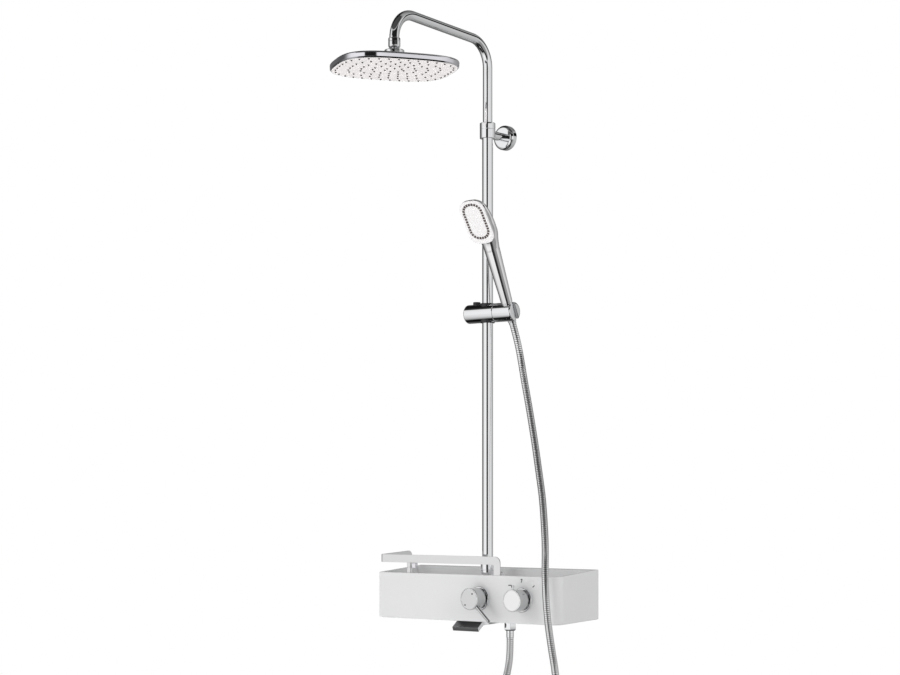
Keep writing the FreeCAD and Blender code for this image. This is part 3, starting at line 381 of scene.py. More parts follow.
def traced(name, corners, depth=None):
    """Plate whose outline is traced from one point by extruding it from corner to corner."""
    bpy.ops.object.select_all(action="DESELECT")
    bpy.ops.mesh.primitive_plane_add(size=0.002, location=Vector(corners[0]) * mm)
    piece = named(name)
    apply_place()
    edit()
    everything()
    bpy.ops.mesh.merge(type="CENTER")
    for a, b in zip(corners, list(corners[1:]) + [corners[0]]):
        extrude((Vector(b) - Vector(a)) * mm)
    everything()
    bpy.ops.mesh.remove_doubles(threshold=0.00001)
    bpy.ops.mesh.edge_face_add()
    if depth:
        extrude(Vector(depth) * mm)
    faces_out()
    return piece


def round_corner(piece, corner, radius, segments):
    """Round one corner of a flat outline."""
    spot = Vector(corner) * mm
    pick(piece, lambda co: (co - spot).length < 0.4 * mm)
    bevel_picked(radius, segments, "VERTICES")


def through(sections):
    """Extrude what is selected through (half width, half length, centre) in millimetres."""
    wide, long, here = sections[0]
    for next_wide, next_long, centre in sections[1:]:
        extrude((Vector(centre) - Vector(here)) * mm)
        bpy.ops.transform.resize(value=(next_wide / wide, next_long / long, 1),
                                 center_override=Vector(centre) * mm)
        wide, long, here = next_wide, next_long, centre


def rounded(name, wide, long, radius, sections, segments=14):
    """Block over a rounded rectangle. sections holds (inset, height) pairs in millimetres."""
    bpy.ops.object.select_all(action="DESELECT")
    bpy.ops.mesh.primitive_plane_add(size=2, location=(0, 0, 0))
    piece = named(name)
    inset, height = sections[0]
    piece.scale = ((wide / 2) * mm, (long / 2) * mm, 1)
    apply_place()
    edit()
    everything()
    bpy.ops.mesh.bevel(offset=radius * mm, segments=segments, profile=0.5, affect="VERTICES")
    everything()
    bpy.ops.mesh.remove_doubles(threshold=0.00001)
    bpy.ops.transform.translate(value=(0, 0, height * mm))
    k = [(wide / 2 - inset) / (wide / 2), (long / 2 - inset) / (long / 2)]
    bpy.ops.transform.resize(value=(*k, 1), center_override=(0, 0, height * mm))
    through([(wide / 2 - i, long / 2 - i, (0, 0, h)) for i, h in sections])
    faces_out()
    return piece


def squared_oval(name, centre, turn, sections, segments=24):
    """Body over a squared oval. sections holds (half long, half short, height)."""
    bpy.ops.object.select_all(action="DESELECT")
    bpy.ops.mesh.primitive_plane_add(size=2, location=(0, 0, 0))
    piece = named(name)
    edit()
    everything()
    bpy.ops.mesh.bevel(offset=1.0, segments=segments, profile=0.65, affect="VERTICES")
    everything()
    bpy.ops.mesh.remove_doubles(threshold=0.0001)
    long, short, height = sections[0]
    bpy.ops.transform.resize(value=(long * mm, short * mm, 1), center_override=(0, 0, 0))
    bpy.ops.transform.translate(value=(0, 0, height * mm))
    through([(a, b, (0, 0, h)) for a, b, h in sections])
    faces_out()
    piece.rotation_euler = (0, 0, math.radians(turn))
    piece.location = centre
    only(piece)
    apply_place()
    return piece


def block(name, low, high):
    """Square block between two corners in millimetres."""
    low, high = Vector(low) * mm, Vector(high) * mm
    bpy.ops.object.select_all(action="DESELECT")
    bpy.ops.mesh.primitive_cube_add(size=1, location=(low + high) / 2)
    piece = named(name)
    piece.scale = high - low
    apply_place()
    return piece


def joined(name, pieces):
    bpy.ops.object.select_all(action="DESELECT")
    for piece in pieces:
        piece.select_set(True)
    bpy.context.view_layer.objects.active = pieces[0]
    bpy.ops.object.join()
    return named(name)


def copied(name, one, homes):
    """Own-mesh copies of a piece at (spot, turn) homes, joined; the first is used up."""
    twins = []
    for spot, turn in homes:
        twin = one.copy()
        twin.data = one.data.copy()
        twin.name = f"{one.name}_copy"
        bpy.context.collection.objects.link(twin)
        twin.location = spot
        twin.rotation_euler = (0, 0, turn)
        twins.append(twin)
    bpy.ops.object.select_all(action="DESELECT")
    for twin in twins:
        twin.select_set(True)
    bpy.context.view_layer.objects.active = twins[0]
    apply_place()
    bpy.data.objects.remove(one)
    return joined(name, twins)


def spots_along(line, count, shift):
    """Spots at equal distances along a closed line, each with the line's direction there."""
    walked = distances(line)
    spots, i = [], 0
    for k in range(count):
        target = (k + shift) * walked[-1] / count
        while walked[i + 1] < target:
            i += 1
        part = (target - walked[i]) / (walked[i + 1] - walked[i])
        spots.append((line[i].lerp(line[i + 1], part), (line[i + 1] - line[i]).normalized()))
    return spots


# ---- materials ----
def add_node(tree, kind, sockets=None, **settings):
    """A new node with its settings, and with its sockets linked or set."""
    node = tree.nodes.new(kind)
    for setting, value in settings.items():
        setattr(node, setting, value)
    for socket, value in (sockets or {}).items():
        if isinstance(value, bpy.types.NodeSocket):
            tree.links.new(value, node.inputs[socket])
        else:
            node.inputs[socket].default_value = value
    return node


def mixed(tree, factor, a, b, blend_type="MIX"):
    """One colour from two."""
    return add_node(tree, "ShaderNodeMix", {"Factor": factor, "A": a, "B": b},
                    data_type="RGBA", blend_type=blend_type).outputs["Result"]


cloud_low, cloud_high = 0.3, 0.7


def surface(name, colour, metal, rough, shade=0.03, cloud=14.0, relief=0.0, grain=600.0,
            stretch=(1, 1, 1), depth=0.0002, coat=0.0):
    """Finish with cloudy colour, uneven gloss and a fine relief, read from the piece's place."""
    mat = bpy.data.materials.new(name)
    mat.use_nodes = True
    tree = mat.node_tree
    shader = tree.nodes["Principled BSDF"]
    shader.inputs["Metallic"].default_value = metal
    shader.inputs["Coat Weight"].default_value = coat
    shader.inputs["Coat Roughness"].default_value = 0.08
    here = tree.nodes.new("ShaderNodeTexCoord").outputs["Object"]
    mapped = add_node(tree, "ShaderNodeMapping",
                      {"Vector": here, "Scale": stretch}).outputs["Vector"]
    clouds = add_node(tree, "ShaderNodeTexNoise",
                      {"Vector": mapped, "Scale": cloud, "Detail": 4.0}).outputs["Fac"]
    tint = add_node(tree, "ShaderNodeValToRGB", {"Fac": clouds})
    low, high = tint.color_ramp.elements
    low.position, high.position = cloud_low, cloud_high
    low.color = (*[c * (1 - shade) for c in colour], 1)
    high.color = (*colour, 1)
    tree.links.new(tint.outputs["Color"], shader.inputs["Base Color"])
    gloss = add_node(tree, "ShaderNodeMapRange",
                     {"Value": clouds, "From Min": cloud_low, "From Max": cloud_high,
                      "To Min": rough[0], "To Max": rough[1]})
    tree.links.new(gloss.outputs["Result"], shader.inputs["Roughness"])
    if relief:
        fine = add_node(tree, "ShaderNodeTexNoise",
                        {"Vector": mapped, "Scale": grain, "Detail": 2.0})
        bump = add_node(tree, "ShaderNodeBump", {"Height": fine.outputs["Fac"], "Strength": relief,
                                                 "Distance": depth})
        tree.links.new(bump.outputs["Normal"], shader.inputs["Normal"])
    return mat


chrome = surface("polished_chrome", (0.87, 0.875, 0.885), 1.0, (0.03, 0.06), shade=0.02, cloud=9.0)
# darker copy of the polished chrome for the knobs' sides: painted shade, for the panel in shadow
# that the sides reflect
painted_shade_knob_side = surface("chrome_painted_shade_on_knob_flank", (0.60, 0.605, 0.61), 1.0, (0.06, 0.1), shade=0.05)
# lighter copy of the spun chrome face for the diverter knob: painted light, so that its face comes
# out near white
painted_light_knob_face = surface("spun_chrome_face_painted_light", (0.95, 0.95, 0.95), 1.0, (0.26, 0.32), shade=0.01,
                      cloud=10.0)
plated = surface("chrome_plated_plastic", (0.83, 0.82, 0.86), 1.0, (0.05, 0.09), cloud=16.0)
knob_face = surface("spun_chrome_face", (0.76, 0.76, 0.765), 1.0, (0.27, 0.33), shade=0.015,
                    cloud=10.0)
enamel = surface("white_enamel", (0.755, 0.755, 0.76), 0.0, (0.2, 0.28), shade=0.012, cloud=7.0,
                 relief=0.12, grain=520.0, depth=0.0003, coat=0.25)
rail_satin = surface("satin_rail_plate", (0.84, 0.84, 0.845), 1.0, (0.26, 0.34), shade=0.02,
                     cloud=18.0, stretch=(0.05, 1, 1))
white = surface("white_moulded_plastic", (0.93, 0.915, 0.915), 0.0, (0.26, 0.36), shade=0.02,
                cloud=12.0, relief=0.02, grain=800.0, coat=0.1)
spray_face = surface("white_spray_face", (0.95, 0.915, 0.91), 0.0, (0.3, 0.4), shade=0.02,
                     cloud=20.0, relief=0.02, grain=900.0)
silicone = surface("grey_silicone", (0.055, 0.045, 0.042), 0.0, (0.42, 0.6), shade=0.2, cloud=90.0,
                   relief=0.3, grain=1500.0)
dark = surface("dark_moulded_plastic", (0.022, 0.022, 0.025), 0.0, (0.3, 0.45), shade=0.2,
               cloud=60.0, relief=0.25, grain=1300.0)
seal = surface("seal_rubber", (0.02, 0.02, 0.02), 0.0, (0.5, 0.7), shade=0.25, cloud=70.0,
               relief=0.3, grain=1200.0)
brass = surface("turned_brass", (0.62, 0.47, 0.22), 1.0, (0.2, 0.35), shade=0.12, cloud=30.0,
                relief=0.2, grain=500.0, stretch=(1, 0.2, 1))
steel = surface("folded_steel", (0.6, 0.6, 0.61), 1.0, (0.25, 0.42), shade=0.08, cloud=16.0,
                relief=0.2, grain=380.0, stretch=(0.08, 1, 1))
hose_steel = surface("hose_steel", (0.97, 0.97, 0.975), 1.0, (0.06, 0.1), cloud=50.0)
mark_grey = surface("printed_mark", (0.02, 0.02, 0.022), 0.0, (0.4, 0.55), shade=0.15, cloud=400.0)
# brighter copy of the plated chrome for the hand shower: painted light, to lift its highlights
plated_chrome_painted_light = surface("hand_shower_plated_painted_light", (0.95, 0.94, 0.95), 1.0, (0.04, 0.07), shade=0.02,
                      cloud=16.0)
jet_rubber = surface("brown_grey_jets", (0.12, 0.092, 0.088), 0.0, (0.42, 0.6), shade=0.2,
                     cloud=90.0, relief=0.3, grain=1500.0)
# dark copy of the polished chrome for the spout: painted shade, for the shadowed housing underside
# that it reflects
spout_chrome_painted_shade = surface("spout_chrome_painted_shade", (0.2, 0.2, 0.205), 1.0, (0.06, 0.1), shade=0.05, cloud=12.0)


def paint_groove_shade(mat, groove_shade_colour=(0.42, 0.42, 0.42, 1)):
    """Painted shade in the grooves between the hose's bright turns: the base colour darkens by each
    point's own groove depth.
    """
    tree = mat.node_tree
    base = tree.nodes["Principled BSDF"].inputs["Base Color"]
    bright = base.links[0].from_socket
    depth = add_node(tree, "ShaderNodeAttribute", attribute_name="groove_depth")
    tree.links.new(mixed(tree, depth.outputs["Fac"], bright, groove_shade_colour), base)


paint_groove_shade(hose_steel)
by_slot = {
    "white_enamel": enamel, "chrome": chrome, "chrome_plastic": plated, "white_plastic": white,
    "grey_rubber": silicone, "brass": brass, "steel": steel, "satin_rail": rail_satin,
    "dark_plastic": dark, "hose_metal": hose_steel, "seal_rubber": seal,
}
record = frame["record"]
slot_of = {entry["node"]: entry["material_slot"] for entry in record["subparts"]}
body_of = {node: body for body, members in record["behaviour"]["bodies"].items()
           for node in members}
for node, slot in slot_of.items():
    nodes[node].data.materials.clear()
    nodes[node].data.materials.append(by_slot[slot])
for node in ("mixer_collar", "diverter_collar", "mixer_turret", "diverter_spindle",
             "mixer_rocker", "mixer_pin"):
    nodes[node].data.materials[0] = dark
for piece in (hose_main, hose_upper, hose_bend, hose_top):
    piece.data.materials.append(hose_steel)


def finish(piece, *replaced, body=None, slot=None, finish_of=None):
    """Give a finished piece its material, the node it stands for and the body that carries it."""
    slot = slot or slot_of[replaced[0]]
    piece.data.materials.clear()
    piece.data.materials.append(finish_of or by_slot[slot])
    for face in piece.data.polygons:
        face.material_index = 0
    if replaced:
        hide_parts(*replaced)
    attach(piece, body or body_of[replaced[0]])
    return piece


def turned_part(name, node, profile, centre, direction=None, sides=96, bored=True, angle=32,
                finish_of=None):
    """A turned piece that stands for one node, shaded smooth."""
    piece = turned(name, profile, centre, direction, sides, bored)
    smooth(piece, angle)
    return finish(piece, node, finish_of=finish_of)


# ---- shelf housing, in millimetres ----
half_width = 259
housing_deep = 157
front_top, wall_top = 52.5, 65.5
front_low, wall_low = 53.5, 47.0
wide_corner, tight_corner = 22, 4
shell_wall, tray_wall = 3.5, 4
tray_floor, tray_ledge = 22, 20


def under_z(out):
    """Height of the housing's sloping underside, out from the wall."""
    return -front_low + (front_low - wall_low) * (1 - out / housing_deep)


def shelf_shell():
    """Enamelled housing: a tray on top, one wide and one tight front corner, a hollow behind."""
    shell = block("shelf_shell", (-half_width, -housing_deep, -56), (half_width, 0, 69))
    front = -housing_deep * mm
    for side, radius, segments in ((half_width, wide_corner, 14), (-half_width, tight_corner, 6)):
        pick(shell, lambda a, b: all(abs(v.x - side * mm) < 0.1 * mm and v.y < front + mm
                                     for v in (a, b)), "EDGE")
        bevel_picked(radius, segments)
    low_slope = (0, front_low - wall_low, -housing_deep)
    slice_off(shell, (0, front, front_top * mm), (0, front_top - wall_top, housing_deep))
    slice_off(shell, (0, front, -front_low * mm), low_slope)

    def on_underside(v):
        return abs(v.z / mm - under_z(-v.y / mm)) < 0.02

    def low_rim_edge(a, b):
        """An edge of the underside, apart from the one along the wall."""
        off_wall = all(v.y < -0.1 * mm for v in (a, b))
        at_side = all(abs(v.x) > (half_width - 0.5) * mm for v in (a, b))
        return on_underside(a) and on_underside(b) and (off_wall or at_side)

    pick(shell, low_rim_edge, "EDGE")
    bevel_picked(2.5, 5)
    pick(shell, lambda centre, normal: normal.z > 0.9, "FACE")
    bpy.ops.mesh.inset(thickness=tray_wall * mm)
    done()
    # the inset leaves several points at the tight corner, which become one
    left, near_side = (tray_wall - half_width) * mm, (tray_wall - housing_deep) * mm
    pick(shell, lambda co: co.z > 0.04 and abs(co.x - left) < 1.2 * mm and
         abs(co.y - near_side) < 1.2 * mm)
    bpy.ops.mesh.merge(type="CENTER")
    done()
    top_faces = (f for f in shell.data.polygons if f.normal.z > 0.9)
    tray = max(top_faces, key=lambda f: f.area).center.copy()
    pick(shell, lambda centre, normal: (centre - tray).length < 1e-6, "FACE")
    extrude((0, 0, -0.036))
    bpy.ops.transform.resize(value=(1, 1, 0), center_override=(0, 0, tray_floor * mm))
    done()
    # the tray's back edge, below and above, moves out to leave a ledge along the wall
    out = tray_ledge - tray_wall
    for low, high, drop in ((20, 24, 0), (60, 70, out * (wall_top - front_top) / housing_deep)):
        pick(shell, lambda co: low < co.z / mm < high and abs(co.y / mm + tray_wall) < 0.6 and
             abs(co.x / mm) < half_width - 2.8)
        bpy.ops.transform.translate(value=(0, -out * mm, -drop * mm))
        done()
    round_edges(shell, 1.1 * mm, 3, 40)
    inner_width, inner_deep = half_width - shell_wall, housing_deep - shell_wall
    hollow = block("hollow", (-inner_width, -inner_deep, -60),
                   (inner_width, 1, tray_floor - shell_wall))
    pick(hollow, lambda a, b: all(v.x / mm > inner_width - 0.5 and v.y / mm < 0.5 - inner_deep
                                  for v in (a, b)), "EDGE")
    bevel_picked(wide_corner - shell_wall, 14)
    slice_off(hollow, (0, front, (shell_wall - front_low) * mm), low_slope)
    combine(shell, hollow)
    for x in (mixer_x, diverter_x):
        combine(shell, hole(18.5, 0, 12, (x, panel_y - 0.005, 0), to_wall))
    combine(shell, hole(12.5, 0, 12, (0, column_y, 0.012)))
    for x in (0, outlet_x):
        combine(shell, hole(13, -60, -44, (x, column_y, 0)))
    smooth(shell, 30)
    return finish(shell, "shelf_housing")


shelf_shell()


# ---- knobs, in millimetres out from the panel ----
knob_front, knob_radius = 42, 24.5


def ring_on_panel(name, x, node):
    turned_part(name, node, [(20.5, 0), (27.5, 0), (27.5, 5.2), (27.2, 6.4), (26.4, 7.2),
                             (25.4, 7.5), (22.2, 7.5), (21.2, 7.2), (20.5, 6.4)],
                (x, panel_y, 0), to_room)


def knob(name, x, node, bore, face):
    """Cap with a thin skirt, a boss for its stem and a fine groove round its face."""
    cap = turned(name, [(bore, 34), (bore, 18.5), (8.5, 18.5), (8.5, 30), (21.5, 30), (21.5, 12.5),
                        (23.7, 12.5), (24.3, 12.8), (24.5, 13.4), (24.5, 14.6), (24.25, 14.9),
                        (24.25, 15.3), (24.5, 15.6), (24.5, 41.0), (24.3, 41.6), (23.8, 41.9),
                        (23.2, 42.0), (22.6, 42.0), (22.35, 41.75), (22.0, 41.75), (21.75, 42.0),
                        (10, 42.0), (0.4, 42.0)], (x, panel_y, 0), to_room, 96)
    finish(cap, node)
    cap.data.materials.append(face)
    cap.data.materials.append(painted_shade_knob_side)
    # the front faces take the face finish; the faces round the side take the darker chrome, which
    # is painted shade
    face_y, side_r = panel_y - (knob_front - 0.1) * mm, (knob_radius - 0.9) * mm
    for polygon in cap.data.polygons:
        at = polygon.center
        if at.y < face_y:
            polygon.material_index = 1
        elif math.hypot(at.x - x, at.z) > side_r:
            polygon.material_index = 2
    smooth(cap, 28)
    return cap


ring_on_panel("mixer_seat_ring", mixer_x, "mixer_base_ring")
ring_on_panel("diverter_seat_ring", diverter_x, "diverter_base_ring")
mixer_cap = knob("mixer_cap", mixer_x, "mixer_knob", 5.7, knob_face)
# the diverter's face takes the lighter copy of the face chrome, which is painted light
diverter_cap = knob("diverter_cap", diverter_x, "diverter_knob", 5.05, painted_light_knob_face)

lever_turn = math.radians(-43)
lever_way = Vector((math.cos(lever_turn), 0, math.sin(lever_turn)))
lever_root = Vector((mixer_x, panel_y - 0.0365, 0)) + lever_way * 0.0175
combine(mixer_cap, hole(3.8, -1, 12, lever_root, lever_way, 32))
turned_part("mixer_handle_rod", "mixer_lever",
            [(3.3, 0), (3.75, 0.4), (3.75, 47.6), (3.45, 48.0), (3.45, 48.6), (3.75, 49.0),
             (3.75, 52.4), (3.6, 53.3), (3.1, 54.0), (2.3, 54.4), (1.0, 54.5)],
            lever_root, lever_way, 48, bored=False)
peg_root = Vector((diverter_x, panel_y - 0.0355, 0.0205))
combine(diverter_cap, hole(3.3, -1, 6, peg_root, sides=32))
turned_part("diverter_grip_peg", "diverter_peg",
            [(2.8, 0), (3.25, 0.4), (3.25, 8.8), (2.95, 9.1), (2.95, 9.6), (3.25, 9.9),
             (3.25, 12.0), (3.0, 12.6), (2.4, 12.95), (1.9, 13.0), (1.7, 12.5), (0.5, 12.5)],
            peg_root, None, 48, bored=False)
for cap in (mixer_cap, diverter_cap):
    smooth(cap, 28)


def dot(name, x, z, radius=1.9):
    """Small domed mark that stands a little proud of the mixer's face."""
    mark = turned(name, [(radius, -0.2), (radius, 0.1), (radius * 0.8, 0.25), (radius * 0.3, 0.32)],
                  (x * mm, -(housing_deep + knob_front) * mm, z * mm), to_room, 20)
    smooth(mark)
    finish(mark, body="mixer_handle", slot="dark_plastic", finish_of=mark_grey)


dot("mixer_mark_hot", 32.4, -13.5)
dot("mixer_mark_cold", 52.4, 11.8)


def bar_mark(name, ends, width=2.0, y=-housing_deep):
    """Printed stroke on the panel: a flat strip with a thin raised edge."""
    a, b = [Vector((x, 0, z)) for x, z in ends]
    along = (b - a).normalized()
    across = Vector((-along.z, 0, along.x)) * (width / 2)
    corners = [a - across, b - across, b + across, a + across]
    strip = traced(name, [(c.x, y + 0.1, c.z) for c in corners], (0, -0.3, 0))
    round_edges(strip, 0.08 * mm, 2, 40)
    return strip


marks = [
    ("hand_spray_mark", (((122.7, 31.7), (131.2, 31.9)), ((131.2, 31.9), (131.9, 26.5)))),
    ("overhead_mark", (((156.8, 45.7), (161.7, 45.8)), ((161.0, 45.8), (158.2, 38.6)))),
    ("spout_mark", (((189.9, 28.9), (195.1, 33.2)),)),
]
for name, strokes in marks:
    strips = [bar_mark(f"{name}_{i}", ends) for i, ends in enumerate(strokes)]
    finish(joined(name, strips), body="wall_unit", slot="dark_plastic", finish_of=mark_grey)


# ---- spout ----
def spout(rear=56, bend=141, low_bend=136, lip=158.5, low_lip=155.5, half_wide=37, thick=8.5):
    """Folded flat spout, 1 mm under the housing, with a slot under its lip."""
    lip_z = under_z(bend) - 15
    upper = [(rear, under_z(rear) - 1), (bend, under_z(bend) - 1), (lip, lip_z)]
    lower = [(low_lip, lip_z - thick), (low_bend, under_z(low_bend) - 1 - thick),
             (rear, under_z(rear) - 1 - thick)]
    body = traced("flat_spout", [(-half_wide, -out, z) for out, z in upper + lower],
                  (2 * half_wide, 0, 0))
    round_edges(body, 0.8 * mm, 3, 12)
    lip_edge, fold_edge = [Vector((0, -out, z)) for out, z in lower[:2]]
    along = (lip_edge - fold_edge).normalized()
    slot = block("slot", (-32, -1.5, -5), (32, 1.5, 5))
    place(slot, (lip_edge - along * 3.0) * mm, None, Vector((0, 1, 0)).rotation_difference(along))
    combine(body, slot)
    smooth(body, 20)
    # most of the spout takes the dark chrome, which is painted shade; the faces turned to the right
    # keep plain chrome
    finish(body, "spout_body", finish_of=spout_chrome_painted_shade)
    body.data.materials.append(chrome)
    for polygon in body.data.polygons:
        if polygon.normal.x > 0.9:
            polygon.material_index = 1


spout()


# ---- column, its foot and the wall bracket ----
column_at = (0, column_y, 0)
turned_part("foot_ring_turned", "column_foot_ring",
            [(10.5, 22), (18, 22), (18, 25.4), (17.6, 26), (15.4, 27.6), (15, 28.4), (15, 59.2),
             (14.2, 60), (12.5, 60), (12.5, 36), (10.5, 36)], column_at)
turned_part("foot_nut_turned", "column_foot_nut",
            [(12.5, 60), (14.4, 60), (14.85, 60.4), (14.85, 61.2), (15.75, 62), (15.75, 75),
             (14.85, 75.6), (14.85, 76.8), (15.75, 77.4), (15.75, 81.6), (15.3, 82.8),
             (14.4, 83.7), (13.4, 84), (12.5, 84)], column_at)
turned_part("column_pipe", "column_tube",
            [(11.05, 36), (12.4, 36), (12.5, 36.4), (12.5, 300), (12.5, 600), (12.5, 900),
             (12.5, 1077.6), (12.4, 1078), (11.05, 1078)], column_at)
turned_part("clamp_ring_turned", "arm_clamp_ring",
            [(12.5, 1075.5), (17.2, 1075.5), (17.8, 1075.9), (18, 1076.4), (18, 1088.8),
             (17.7, 1089.6), (17.0, 1090), (11.4, 1090), (11.4, 1088), (14.55, 1088),
             (14.55, 1078.5), (12.5, 1078.5)], column_at)
turned_part("rosette_dome", "bracket_rosette",
            [(28.5, 0), (28.5, 11), (28.1, 12.8), (26.9, 14.9), (25.0, 16.6), (23.0, 17.5),
             (21.4, 18), (10, 18), (10, 16.5), (21.2, 16.5), (24.0, 15.2), (26.2, 13.2),
             (27, 10.5), (27, 0)], (0, 0, 1.065), to_room)


# ---- rail ----
def rail_plate(front=-152, left=-251.5, right=95, top=94.6, low=76.3, thick=3):
    """Flat rail: a leg with a round shoulder on the right, folded toward the wall on the left."""
    leg_left, leg_foot = 76.7, tray_floor
    flat = traced("folded_rail", [(left, front, top), (right, front, top), (right, front, leg_foot),
                                  (leg_left, front, leg_foot), (leg_left, front, low),
                                  (left, front, low)])
    round_corner(flat, (right, front, top), 15, 12)
    round_corner(flat, (leg_left, front, low), 2, 4)
    only(flat)
    edit("FACE")
    everything()
    extrude((0, thick * mm, 0))
    faces_out()
    edit()
    everything()
    bpy.ops.mesh.bisect(plane_co=(0, 0, 0.025), plane_no=(0, 0, 1))
    done()
    # the leg's foot reaches back under the rim
    pick(flat, lambda centre, normal: normal.y > 0.9 and centre.z < 0.0245, "FACE")
    extrude((0, 0.011, 0))
    done()
    # the fold at the left end, and the leg that goes back from it
    pick(flat, lambda centre, normal: normal.x < -0.9 and centre.x < -0.25, "FACE")
    bpy.ops.mesh.spin(steps=8, angle=math.radians(90), axis=(0, 0, 1),
                      center=(left * mm, (front + 7) * mm, 0))
    done()
    if min(v.co.x for v in flat.data.vertices) > -0.2584:
        raise RuntimeError("the rail's fold turned the wrong way")
    pick(flat, lambda centre, normal: normal.y > 0.9 and centre.x < -0.2556 and
         centre.y > -0.1455, "FACE")
    extrude((0, 0.1065, 0))
    done()
    # the leg's far end rises, and its upper corner is rounded
    back_end, above = -0.0390, 0.09
    pick(flat, lambda co: co.y > back_end and co.z > above)
    bpy.ops.transform.translate(value=(0, 0, 6.4 * mm))
    done()
    pick(flat, lambda a, b: all(v.y > back_end and v.z > above for v in (a, b)), "EDGE")
    bevel_picked(12, 10)
    only(flat)
    edit()
    everything()
    bpy.ops.mesh.remove_doubles(threshold=0.00001)
    faces_out()
    round_edges(flat, 0.45 * mm, 2, 40)
    finish(flat, "rail")


rail_plate()


def rail_support():
    """Round post with a groove, and the plated clip beside it that holds the rail."""
    x, y = -174.0, -142.0
    post = turned("rail_post_round", [(0.6, 22), (8.5, 22), (8.5, 64.0), (7.3, 64.9), (7.3, 66.3),
                                      (8.5, 67.2), (8.5, 90.8), (8.2, 91.4), (7.4, 91.6),
                                      (0.6, 91.6)], (x * mm, y * mm, 0))
    combine(post, block("cut", (x - 20, -160, 20), (x + 20, -149, 95)))
    smooth(post, 30)
    finish(post, "rail_post")
    clip = block("rail_clip", (x + 6.5, y - 4, 63.3), (x + 17.5, y + 5, 75.3))
    round_edges(clip, 1.0 * mm, 3, 40)
    finish(clip, "rail_post", finish_of=plated)


rail_support()


# ---- shower arm, in millimetres ----
arm_reach = 332


def arm_pipe(reach=arm_reach, top=1289.35, slope=2.75, low=830, end=1214, rise_bend=60,
             drop_bend=59):
    """Rising tube, bent over the column and down again above the overhead shower."""
    rise_turn, drop_turn = 90 - slope, 90 + slope
    slope = math.radians(slope)
    corner = top - reach * math.tan(slope)
    first_back = rise_bend * math.tan(math.radians(rise_turn / 2))
    last_back = drop_bend * math.tan(math.radians(drop_turn / 2))
    bpy.ops.object.select_all(action="DESELECT")
    bpy.ops.mesh.primitive_circle_add(vertices=96, radius=10.92 * mm,
                                      location=(0, column_y, low * mm))
    pipe = named("bent_arm")
    apply_place()
    edit()
    everything()
    rise = corner - first_back - low
    extrude((0, 0, rise * mm))
    bpy.ops.mesh.spin(steps=28, angle=math.radians(rise_turn), axis=(-1, 0, 0),
                      center=(0, column_y - rise_bend * mm, (low + rise) * mm))
    way = Vector((0, -math.cos(slope), math.sin(slope)))
    run = reach / math.cos(slope) - first_back - last_back
    extrude(way * run * mm)
    start = Vector((0, column_y / mm, corner)) + way * (first_back + run)
    inner = start + Vector((0, -math.sin(slope), -math.cos(slope))) * drop_bend
    bpy.ops.mesh.spin(steps=28, angle=math.radians(drop_turn), axis=(-1, 0, 0),
                      center=inner * mm)
    extrude((0, 0, -(top - last_back - end) * mm))
    everything()
    bpy.ops.mesh.remove_doubles(threshold=0.00001)
    bpy.ops.mesh.fill_holes(sides=0)
    faces_out()
    smooth(pipe)
    box_low, box_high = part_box("shower_arm")
    top_z = max(v.co.z for v in pipe.data.vertices)
    front_y = min(v.co.y for v in pipe.data.vertices)
    if abs(top_z - box_high.z) > mm or abs(front_y - box_low.y) > mm:
        raise RuntimeError("the arm bends the wrong way")
    finish(pipe, "shower_arm")


arm_pipe()
head_at = (0, column_y - arm_reach * mm, 0)
turned_part("arm_union_nut", "arm_nut",
            [(11, 1227.5), (12.2, 1227.3), (12.9, 1226.5), (13.2, 1225.4), (13.2, 1219.6),
             (12.9, 1219.2), (12.9, 1218.6), (13.2, 1218.2), (13.2, 1217.7), (13.2, 1210.3),
             (13.2, 1209.6), (12.7, 1207.6), (11.6, 1206.1), (10.2, 1205.2), (8.7, 1204.8),
             (6.05, 1204.8), (6.05, 1207.8), (8.55, 1207.8), (8.55, 1212), (11, 1212)], head_at)


def arc(radius, centre_h, first, last, count):
    """Points of (radius, height) on a ball's side, by the angle up from its waist."""
    turns = [math.radians(first + (last - first) * i / (count - 1)) for i in range(count)]
    return [(radius * math.cos(t), centre_h + radius * math.sin(t)) for t in turns]


ball_h = 1193
turned_part("swivel_ball", "head_ball",
            [(3, 1211.9), (8.5, 1211.9), (8.5, 1207.9), (6, 1207.9)] +
            arc(10, ball_h, 53, -72, 26) + [(3, 1183.4)], head_at, None, 64, angle=50)
turned_part("head_boss", "head_socket",
            [(18.75, 1179.2), (18.75, 1182.6), (19.4, 1183), (21.2, 1183), (21.6, 1183.2),
             (21.75, 1183.8), (21.75, 1184.4), (21.75, 1198.8), (21.75, 1199.4), (21.4, 1200.3),
             (20.6, 1200.85), (19.6, 1201), (9.6, 1201), (9.2, 1200.7)] +
            arc(10.05, ball_h, 27, -84, 20), head_at, bored=False)


# ---- overhead shower, in millimetres ----
half_long, half_short = 134.3, 116.3
head_turn = 57.3
head_low = 1158


def oval_sections(pairs):
    """(half long, half short, height) from (inset, rise) pairs above the head's lowest level."""
    return [(half_long - inset, half_short - inset, head_low + rise) for inset, rise in pairs]


def dome_sections(rings=12, first_inset=6, last_inset=75, first_rise=14.8, rise=9.9):
    """The shell's crown: it flattens toward the middle, and its oval keeps its proportions."""
    rim_long = half_long - first_inset
    crown_long = half_long * (1 - last_inset / half_short)
    sections = []
    for i in range(1, rings + 1):
        share = i / rings
        inset = first_inset + (last_inset - first_inset) * share
        sections.append((rim_long + (crown_long - rim_long) * share, half_short - inset,
                         head_low + first_rise + rise * math.sin(share * math.pi / 2)))
    return sections


